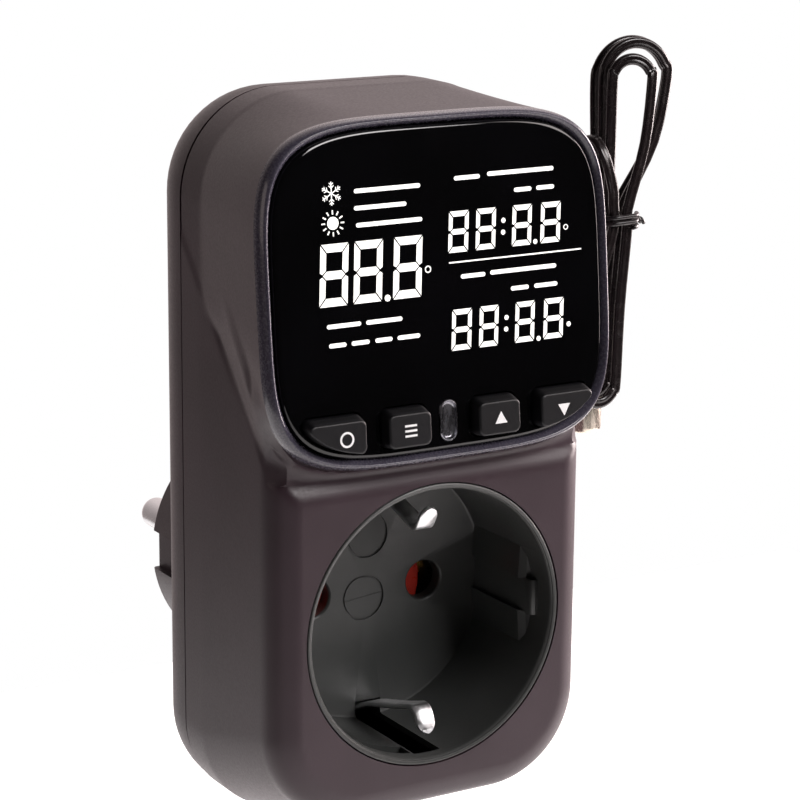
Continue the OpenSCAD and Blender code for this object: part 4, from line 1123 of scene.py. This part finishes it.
def eight(left, right, low, high, across, up):
    """The seven segments of an 8, with strokes so wide across and up, leaning a little."""
    lean_w = (high - low) * SLANT
    w, h, gap = right - left - lean_w, high - low, 0.1
    m = h / 2
    ends = [(gap, h), (w - gap, h), (w - across - gap, h - up), (across + gap, h - up)]
    middle = [(0.42 * across + gap, m), (across + gap, m + up / 2), (w - across - gap, m + up / 2),
              (w - 0.42 * across - gap, m), (w - across - gap, m - up / 2),
              (across + gap, m - up / 2)]
    post = [(0, h - 1.6 * gap), (across, h - up - 1.6 * gap), (across, m + up / 2 + 1.4 * gap),
            (0.42 * across, m + 1.6 * gap), (0, m + 0.35 * up)]
    shapes = [ends, [(x, h - y) for x, y in ends], middle]
    for flip_x in (False, True):
        for flip_y in (False, True):
            shapes.append([(w - x if flip_x else x, h - y if flip_y else y) for x, y in post])
    return [[(left + x + y * SLANT, low + y) for x, y in s] for s in shapes]


def snowflake(u, w, r):
    shapes = []
    for turn in range(30, 390, 60):
        shapes.append(spoke(u, w, 0, r, turn, 0.15))
        for side in (-48, 48):
            for at, size in ((0.45, 0.32), (0.72, 0.26)):
                root = turned([(at * r, 0)], turn, (u, w))[0]
                shapes.append(spoke(*root, 0, size * r, turn + side, 0.12))
    return shapes


def sun(u, w, r):
    return [disc(u, w, 0.5 * r)] + [spoke(u, w, 0.68 * r, r, 30 * i, 0.2) for i in range(12)]


def display_shapes():
    shapes = snowflake(-16.86, 62.86, 1.6) + sun(-16.83, 58.89, 1.75)
    for left, right in BIG_DIGITS:
        shapes += eight(left, right, 47.75, 56.15, 0.9, 1.12)
    for digits, low in ((UPPER_DIGITS, 53.25), (LOWER_DIGITS, 39.72)):
        for left, right in digits:
            shapes += eight(left, right, low, low + 5.66, 0.6, 0.74)
    dots = [(-8.89, 48.06, 0.46), (10.19, 57, 0.35), (10.07, 55.36, 0.35), (15.33, 53.6, 0.35),
            (10.11, 43.45, 0.35), (9.98, 41.83, 0.35), (15.32, 39.95, 0.35),
            (20.48, 41.47, 0.36)]
    shapes += [disc(*d) for d in dots]
    shapes += ring_plates(-2.31, 51.36, 0.42, 0.17) + ring_plates(20.53, 55.2, 0.33, 0.14)
    shapes.append(bar(1.08, 51.9, 23.02, 51.9, 0.2))
    for w, row in DASHES.items():
        shapes += [rounded_bar(*ends, w, 0.3) for ends in row]
    return shapes


def rounded_bar(left, right, middle, half):
    """A plain bar with round ends."""
    centre = (left + right) / 2
    return [(centre + x, z) for x, z in rounded((right - left) / 2, middle - half, middle + half,
                                                half, half, 5)]


keep(plates("display_marks", display_shapes(), MARK_FRONT, MARK_BACK, SEGMENT_WHITE), "lcd_glass")


# Socket

STRAP_W = 4
STRAP_T = 0.8
STRAP_Z = 18.3
STRAP_BACK = 32.35
# The round marks on the floor, the lower one first
DISC_MARKS = [(-0.9, -1.1), (-0.3, 8.4)]
BLOCK_SCREW = (13.4, 7.2)
LUG_R = 24.4
LUG_Y = (6.1, 7.6)


def lug_places():
    """Where the recess's four screws stand, with the turn of each."""
    return [(turn, turned([(LUG_R, 0)], turn)[0]) for turn in (45, 135, 225, 315)]


def make_well():
    """The socket's round recess: rim, wall, floor, guide ribs, slots and pin holes."""
    r, wall, floor, back = RIM_R, WELL_R, WELL_Y, FLOOR_BACK
    profile = [(0, floor), (wall - 0.5, floor), (wall - 0.15, floor - 0.15), (wall, floor - 0.5),
               (wall, 0.85), (wall + 0.07, 0.5), (wall + 0.2, 0.3), (wall + 0.28, 0.27),
               (wall + 0.36, 0.08), (wall + 0.48, 0.02), (r - 0.22, 0.0), (r - 0.07, 0.07),
               (r, 0.22), (r, back), (0, back)]
    made = lathe("socket_recess_body", profile, steps=192)
    joined = []
    for side in (-1, 1):
        rib = [(wall + 0.4, 3.5), (wall - 0.55, 3.5), (wall - 1.0, 3.75), (wall - 1.2, 4.3),
               (wall - 1.2, floor + 0.5), (wall + 0.4, floor + 0.5)]
        rings = [[(side * x, y, z) for x, y in rib] for z in (-2.7, 2.7)]
        joined.append(bevel(loft("rib", rings), 0.2))
        for end in (-1, 1):
            joined.append(loft("gusset", [
                [(side * x, y, end * z) for x, y in (
                    (wall + 0.3, 5), (wall - proud * 0.6, 5.3), (wall - proud, 6.4),
                    (wall - proud, floor + 0.3), (wall + 0.3, floor + 0.3))]
                for proud, z in ((1.75, 2.5), (1.6, 4.5), (1.45, 7.3))]))
    arm = [(19.9, -2.6), (LUG_R, -2.6), (LUG_R, 2.6), (19.9, 2.6)]
    for turn, at in lug_places():
        joined.append(cylinder_tool(2.6, *LUG_Y, at, 32))
        joined.append(loft("arm", [at_depth(y, turned(arm, turn)) for y in LUG_Y]))
    x, z = BLOCK_SCREW
    joined += [cylinder_tool(peg_r, back - 0.1, PEG_BACK, at, 32)
               for peg_r, at in ((1.6, (0, 0)), (2.2, (-x, -z)), (2.2, (x, z)))]
    carve(made, joined, "UNION")
    tools = []
    for x in (-PIN_X, PIN_X):
        tools.append(lathe("tool", [(0, floor - 1), (PIN_HOLE_R + 0.3, floor - 1),
                                    (PIN_HOLE_R + 0.3, floor), (PIN_HOLE_R + 0.12, floor + 0.12),
                                    (PIN_HOLE_R, floor + 0.35), (PIN_HOLE_R, back + 2),
                                    (0, back + 2)], (x, 0)))
    tools += [box("tool", (-2.15, 2.15), (WALL, back + 2), slot)
              for slot in ((-21.1, -17.2), (17.2, 21.1))]
    tools += [cylinder_tool(3.5, floor - 1, floor + 0.3, at, 64) for at in DISC_MARKS]
    # A shallow pocket in the wall beside the lower slot
    turns = [-121 + 2.4 * i for i in range(11)]
    pocket = [turned([(wall - 1, 0)], a)[0] for a in turns]
    pocket += [turned([(wall + 1, 0)], a)[0] for a in turns[::-1]]
    tools.append(loft("tool", [at_depth(2.5, pocket), at_depth(5.4, pocket)]))
    tools += [cylinder_tool(1.1, 5, 9, at, 24) for _, at in lug_places()]
    carve(made, tools)
    # The round marks' raised middles, and the raised line across the lower one
    line = turned([(-3.1, -0.09), (3.1, -0.09), (3.1, 0.09), (-3.1, 0.09)], 6, DISC_MARKS[0])
    carve(made, [cylinder_tool(3.1, floor + 0.08, floor + 0.6, at, 64) for at in DISC_MARKS]
          + [loft("line", [at_depth(floor - 0.06, line), at_depth(floor + 0.6, line)])], "UNION")
    return bevel(skin(made, WELL_NYLON), 0.1)


keep(make_well(), "well_plastic", "socket_well")


def strap(name, path, half_w, thick, tongue, material):
    """A bent strip along a path in y and z, its ends rounded over a tongue's length."""
    fine = smooth_path([(0, y, z) for y, z in path], 10)
    run_at = [0.0]
    for a, b in zip(fine, fine[1:]):
        run_at.append(run_at[-1] + dist(a, b))
    rings = []
    e = 0.16
    for i, p in enumerate(fine):
        ahead, behind = fine[min(i + 1, len(fine) - 1)], fine[max(i - 1, 0)]
        t = np.array([ahead[1] - behind[1], ahead[2] - behind[2]])
        t /= np.linalg.norm(t)
        n = np.array([-t[1], t[0]])
        near = min(run_at[i], run_at[-1] - run_at[i])
        w = half_w - (0.5 * min(1, max(0, (20 - near) / 3)) if tongue else 0)
        tip_w = w
        for end in (run_at[i], run_at[-1] - run_at[i]):
            if tongue and end < tongue:
                w = tip_w * sqrt(max(0.04, 1 - (1 - end / tongue) ** 2))
        h = thick / 2
        edge = [(w, h - e), (w - e, h), (e - w, h), (-w, h - e), (-w, e - h), (e - w, -h),
                (w - e, -h), (w, e - h)]
        rings.append([(a, p[1] + b * n[0], p[2] + b * n[1]) for a, b in edge])
    return loft(name, rings, material, 50)


def make_strap():
    """The earth strap: a clip at the top and the bottom, joined behind the socket."""
    clip = [(1.9, 16.9), (2.2, 16.1), (2.8, 14.9), (3.4, 13.95), (4.1, 13.5), (4.9, 13.5),
            (6, 13.85), (8, 14.5), (10, 15.1), (12, 15.65), (14, 16.2), (16, 16.75),
            (17.5, 17.25), (18.6, 17.85), (19.6, 18.3)]
    legs = [(22, STRAP_Z), (26, STRAP_Z), (29.5, STRAP_Z), (31.3, STRAP_Z), (32.1, 17.9),
            (STRAP_BACK, 17), (STRAP_BACK, 12), (STRAP_BACK, 6)]
    half = clip + legs
    path = [(y, -z) for y, z in half] + [(STRAP_BACK, 0)] + half[::-1]
    return strap("earth_strap_clips", path, STRAP_W / 2, STRAP_T - 0.1, 1.9, NICKEL)


def make_plug_contacts():
    """The two earth contacts that lie in grooves of the plug body."""
    back, z = 33.15, PLUG_R - STRAP_T / 2
    halves = []
    for end in (-1, 1):
        path = [(back, end * (z - 1.7)), (back, end * (z - 0.8)), (back + 0.3, end * (z - 0.2)),
                (back + 1.2, end * z), (40, end * z), (46, end * z), (50.7, end * z)]
        halves.append(strap("plug_earth_contact", path, STRAP_W / 2, STRAP_T - 0.05, 0, NICKEL))
    return join(halves, "plug_earth_contact_strips")


def make_pins():
    """The two pins with rounded tips, each with its flange and tail inside the plug body."""
    inner = PLUG_END - 2
    seat = inner - 1.7
    profile = [(0, seat - 5.2), (2, seat - 5.2), (2, seat), (3.3, seat), (3.3, inner),
               (2.1, inner), (2.1, PLUG_END), (PIN_R, PLUG_END)]
    profile += [(PIN_R - drawn, PIN_END - ahead) for drawn, ahead in quarter(1.6, 8)]
    profile.append((0, PIN_END))
    pin = lathe("pin", profile, steps=64)
    return repeat("plug_pins_turned", pin, [(-PIN_X, 0, 0), (PIN_X, 0, 0)], PIN_NICKEL)


def make_shutter():
    """The red shutter: a flat bar with round ends on a hub."""
    front, back, half, r = 21.25, 23.05, 3.3, 10
    reach = asin(half / r)
    turns = [side - reach + 2 * reach * i / 12 for side in (0, pi) for i in range(13)]
    outline = [(r * cos(a), r * sin(a)) for a in turns]
    rings = [at_depth(front + ahead, draw_in(outline, drawn)) for ahead, drawn in quarter(0.2, 3)]
    made = loft("shutter_bar", rings + [at_depth(back, outline)])
    carve(made, [cylinder_tool(1.65, front - 1, back + 1, steps=40),
                 cylinder_tool(2.8, back - 1.1, back + 1, steps=40)])
    skin(made, SHUTTER_RED)
    dress(made, True, 40)
    return made


keep(make_strap(), "earth_nickel", "earth_strap")
keep(make_plug_contacts(), "earth_nickel", "plug_earth_contacts")
keep(make_pins(), "pin_nickel", "plug_pins")
keep(make_shutter(), "shutter_plastic", "shutter", body="shutter_disc")


# Lead gland

def make_gland():
    """The ribbed strain relief where the lead leaves the case."""
    collar = CASE_HALF_W + 1.25
    profile = [(0, 22.6), (2.9, 22.6), (2.9, 23.8), (2, 23.8), (2, collar), (2.6, collar),
               (2.85, collar + 0.12), (2.9, collar + 0.4), (2.8, collar + 0.68),
               (2.55, collar + 0.8)]
    tip = collar + 3.45
    ribs = 4
    for i in range(ribs):
        at = collar + 0.85 + (tip - collar - 1.0) * i / ribs
        r = 2.0 - 0.7 * i / (ribs - 1)
        profile += [(r, at), (r, at + 0.28), (r - 0.22, at + 0.36), (r - 0.24, at + 0.52)]
    profile += [(1.3, tip - 0.12), (1.2, tip), (0, tip)]
    return lathe("lead_gland_ribbed", profile, (0, 0), 48, 40, on_gland, LEAD_VINYL)


keep(make_gland(), "lead_vinyl", "lead_grommet")


# Parts inside the case keep their CAD shapes and get the finish of the real part

# Each row: nodes, then the plastic's name, two tones, roughness, grain and its depth, and its coat
INNER_PLASTICS = [
    # Glass-epoxy board under green solder resist: the weave shows as a faint fine mottle
    ("control_board power_board", "green_resist_laminate", "#1d5a38", "#246642", 0.32, 0.8, 0.006,
     0.3),
    # Moulded epoxy of the chip: matt black with a sandy skin
    ("control_chip", "moulded_epoxy_chip", "#19191b", "#222224", 0.55, 0.25, 0.01),
    # Glass-filled polyester of the relay: dark blue, satin
    ("relay", "polyester_relay_case", "#1d3f7a", "#234886", 0.35, 0.4, 0.006),
    # Polypropylene box of the mains capacitor, filled with resin: soft yellow
    ("mains_capacitor", "polypropylene_capacitor_box", "#c89a2c", "#d2a638", 0.38, 0.5, 0.006),
    # Shrunk film round the smoothing capacitor: thin, glossy and black
    ("smoothing_capacitor", "shrunk_film_sleeve", "#15171c", "#1d2027", 0.22, 2, 0.004, 0.2),
    # Nylon body of the fuse: brown and satin
    ("fuse", "nylon_fuse_body", "#43352c", "#4c3d33", 0.4, 0.4, 0.006),
    # Dipped lacquer of the varistor: uneven, glossy blue
    ("varistor", "dipped_lacquer_varistor", "#1f5fa8", "#2a6cb6", 0.2, 1.6, 0.03, 0.4),
    # Black nylon of the board link and of the switch bodies: satin, a little dusty
    ("board_link", "nylon_header", "#1c1c1e", "#252527", 0.45, 0.3, 0.006),
    ("tact_switches", "nylon_switch_body", "#232326", "#2b2b2e", 0.42, 0.3, 0.006),
    # Acetal plungers: milky white and waxy
    ("set_plunger function_plunger up_plunger down_plunger", "acetal_plunger", "#d8d8d2",
     "#e2e2dc", 0.35, 0.5, 0.004),
    # Silicone strip with carbon layers: dull dark grey
    ("lcd_connector", "carbon_silicone_strip", "#2e2f33", "#3a3b3f", 0.6, 0.18, 0.01),
    # Light guide behind the glass: opal acrylic
    ("lcd_backlight", "opal_acrylic_guide", "#e6ebee", "#eef2f4", 0.3, 2, 0.003),
    # Glass of the liquid crystal with its dark polariser
    ("lcd_panel", "polarised_crystal_glass", "#0b0c10", "#101218", 0.08, 4, 0.001, 0.3),
    # Clear red epoxy dome of the indicator
    ("indicator_led", "clear_red_epoxy", "#a8201c", "#b82a24", 0.12, 2, 0.002, 0.3),
    # Heat-proof nylon that carries the contacts: near black
    ("contact_block pin_retainer", "nylon_contact_carrier", "#222325", "#2b2c2e", 0.42, 0.4,
     0.008),
    # Black polycarbonate plate behind the shutter
    ("shutter_plate", "polycarbonate_plate", "#1d1e1f", "#242526", 0.4, 0.6, 0.006),
    # Vinyl skin of the mains wires
    ("line_wire switched_wire", "vinyl_wire_brown", "#5a3320", "#653b26", 0.35, 1.2, 0.01),
]
# Each row: nodes, then the metal's name, tone, roughness, marks and their depth
INNER_METALS = [
    # Stamped brass of the contacts: warm yellow, finely mottled
    ("line_contact neutral_contact neutral_link", "stamped_brass", "#c79a4e", 0.28, 0.5, 0.004),
    # Blackened steel of the screws inside: dark grey with a dull shine
    ("control_screws power_screws contact_screws retainer_screws well_screws",
     "blackened_steel", "#5b5c60", 0.36, 0.4, 0.004),
    # Drawn steel of the spring: bright grey, hardly marked
    ("shutter_spring", "drawn_spring_steel", "#9c9ea2", 0.24, 0.3, 0.003),
]


def finish_inside():
    """Gives each CAD node that still shows the finish of its real material."""
    finishes = {}
    for rows, make in ((INNER_PLASTICS, moulded), (INNER_METALS, metal)):
        for names, *look in rows:
            finishes.update(dict.fromkeys(names.split(), make(*look)))
    for name, node in frame["nodes"].items():
        made = finishes.get(name)
        if made:
            if not node.material_slots:
                node.data.materials.append(made)
            for slot in node.material_slots:
                slot.material = made
        elif not node.hide_render:
            print("no finish for", name)


finish_inside()


# Stage: a plain pale floor and soft studio light

BACKDROP_WAY = (0.5, 0.84, 0.2)
WORLD_LOW = 0.014
WORLD_HIGH = 0.45
FLOOR_GLOW = 0.7


def seen_as(tree, one, other):
    """1 for light paths of either kind, such as those that reach the camera."""
    ray = add(tree, "ShaderNodeLightPath")
    return add(tree, "ShaderNodeMath", {0: ray.outputs[one], 1: ray.outputs[other]},
               operation="MAXIMUM").outputs[0]


def make_world():
    """A white backdrop behind the case and a dim room in front of it."""
    world = bpy.data.worlds.new("studio")
    bpy.context.scene.world = world
    world.use_nodes = True
    tree = world.node_tree
    tree.nodes.clear()
    seen = seen_as(tree, "Is Camera Ray", "Is Transmission Ray")
    way = add(tree, "ShaderNodeVectorMath", {
        0: add(tree, "ShaderNodeTexCoord").outputs["Generated"], 1: BACKDROP_WAY},
        operation="DOT_PRODUCT")
    # Glossy rays see the backdrop at its full white, the diffuse light a dimmer one
    glossy = add(tree, "ShaderNodeLightPath").outputs["Is Glossy Ray"]
    high = add(tree, "ShaderNodeMapRange", {
        "Value": glossy, "To Min": WORLD_HIGH, "To Max": 1})
    above = add(tree, "ShaderNodeMapRange", {
        "Value": way.outputs["Value"], "From Min": 0.25, "From Max": 0.9, "To Min": WORLD_LOW,
        "To Max": high.outputs["Result"]})
    level = add(tree, "ShaderNodeMix", {
        "Factor": seen, "A": above.outputs["Result"], "B": 1}, data_type="FLOAT")
    shade = add(tree, "ShaderNodeMix", {
        "Factor": seen, "A": colour("#ffeeec"), "B": colour("#ffffff")}, data_type="RGBA")
    sky = add(tree, "ShaderNodeBackground", {
        "Color": shade.outputs["Result"], "Strength": level.outputs["Result"]})
    add(tree, "ShaderNodeOutputWorld", {"Surface": sky.outputs["Background"]})


def make_floor(half=360, low=-140):
    """A matt pale floor that looks white and still takes the object's shadow."""
    made, tree, _ = new_material("pale_floor")
    glow = add(tree, "ShaderNodeMath", {
        0: seen_as(tree, "Is Camera Ray", "Is Glossy Ray"), 1: FLOOR_GLOW}, operation="MULTIPLY")
    show(tree, {"Base Color": colour("#f2f2f2"), "Roughness": 0.9,
                "Emission Color": colour("#ffffff"), "Emission Strength": glow.outputs[0]})
    points = [(x, y, low) for x, y in ((-half, -half), (half, -half), (half, half), (-half, half))]
    piece("floor", points, [(0, 1, 2, 3)], made, smooth=False)


def make_lamp(name, at, size, watts, shade):
    """A soft square lamp, in millimetres, turned to the middle of the case."""
    data = bpy.data.lights.new(name, "AREA")
    data.color = colour(shade)[:3]
    data.size = size * MM
    data.energy = watts
    made = stand(name, data)
    start = Vector(place(*at))
    turn = (Vector(place(0, 10, 10)) - start).to_track_quat("-Z", "Y")
    made.matrix_world = Matrix.Translation(start) @ turn.to_matrix().to_4x4()


make_world()
make_floor()
make_lamp("key_lamp", (250, -520, 420), 240, 2.7, "#fffafa")
make_lamp("front_right_lamp", (470, -340, 330), 240, 1.2, "#fff6f4")
make_lamp("right_lamp", (560, 0, 100), 300, 6, "#fff0ee")
make_lamp("top_lamp", (300, 300, 400), 250, 0.15, "#fff6f6")
make_lamp("side_lamp", (-560, 80, 160), 300, 0.35, "#ffeeea")

bpy.context.scene.view_settings.view_transform = "Standard"
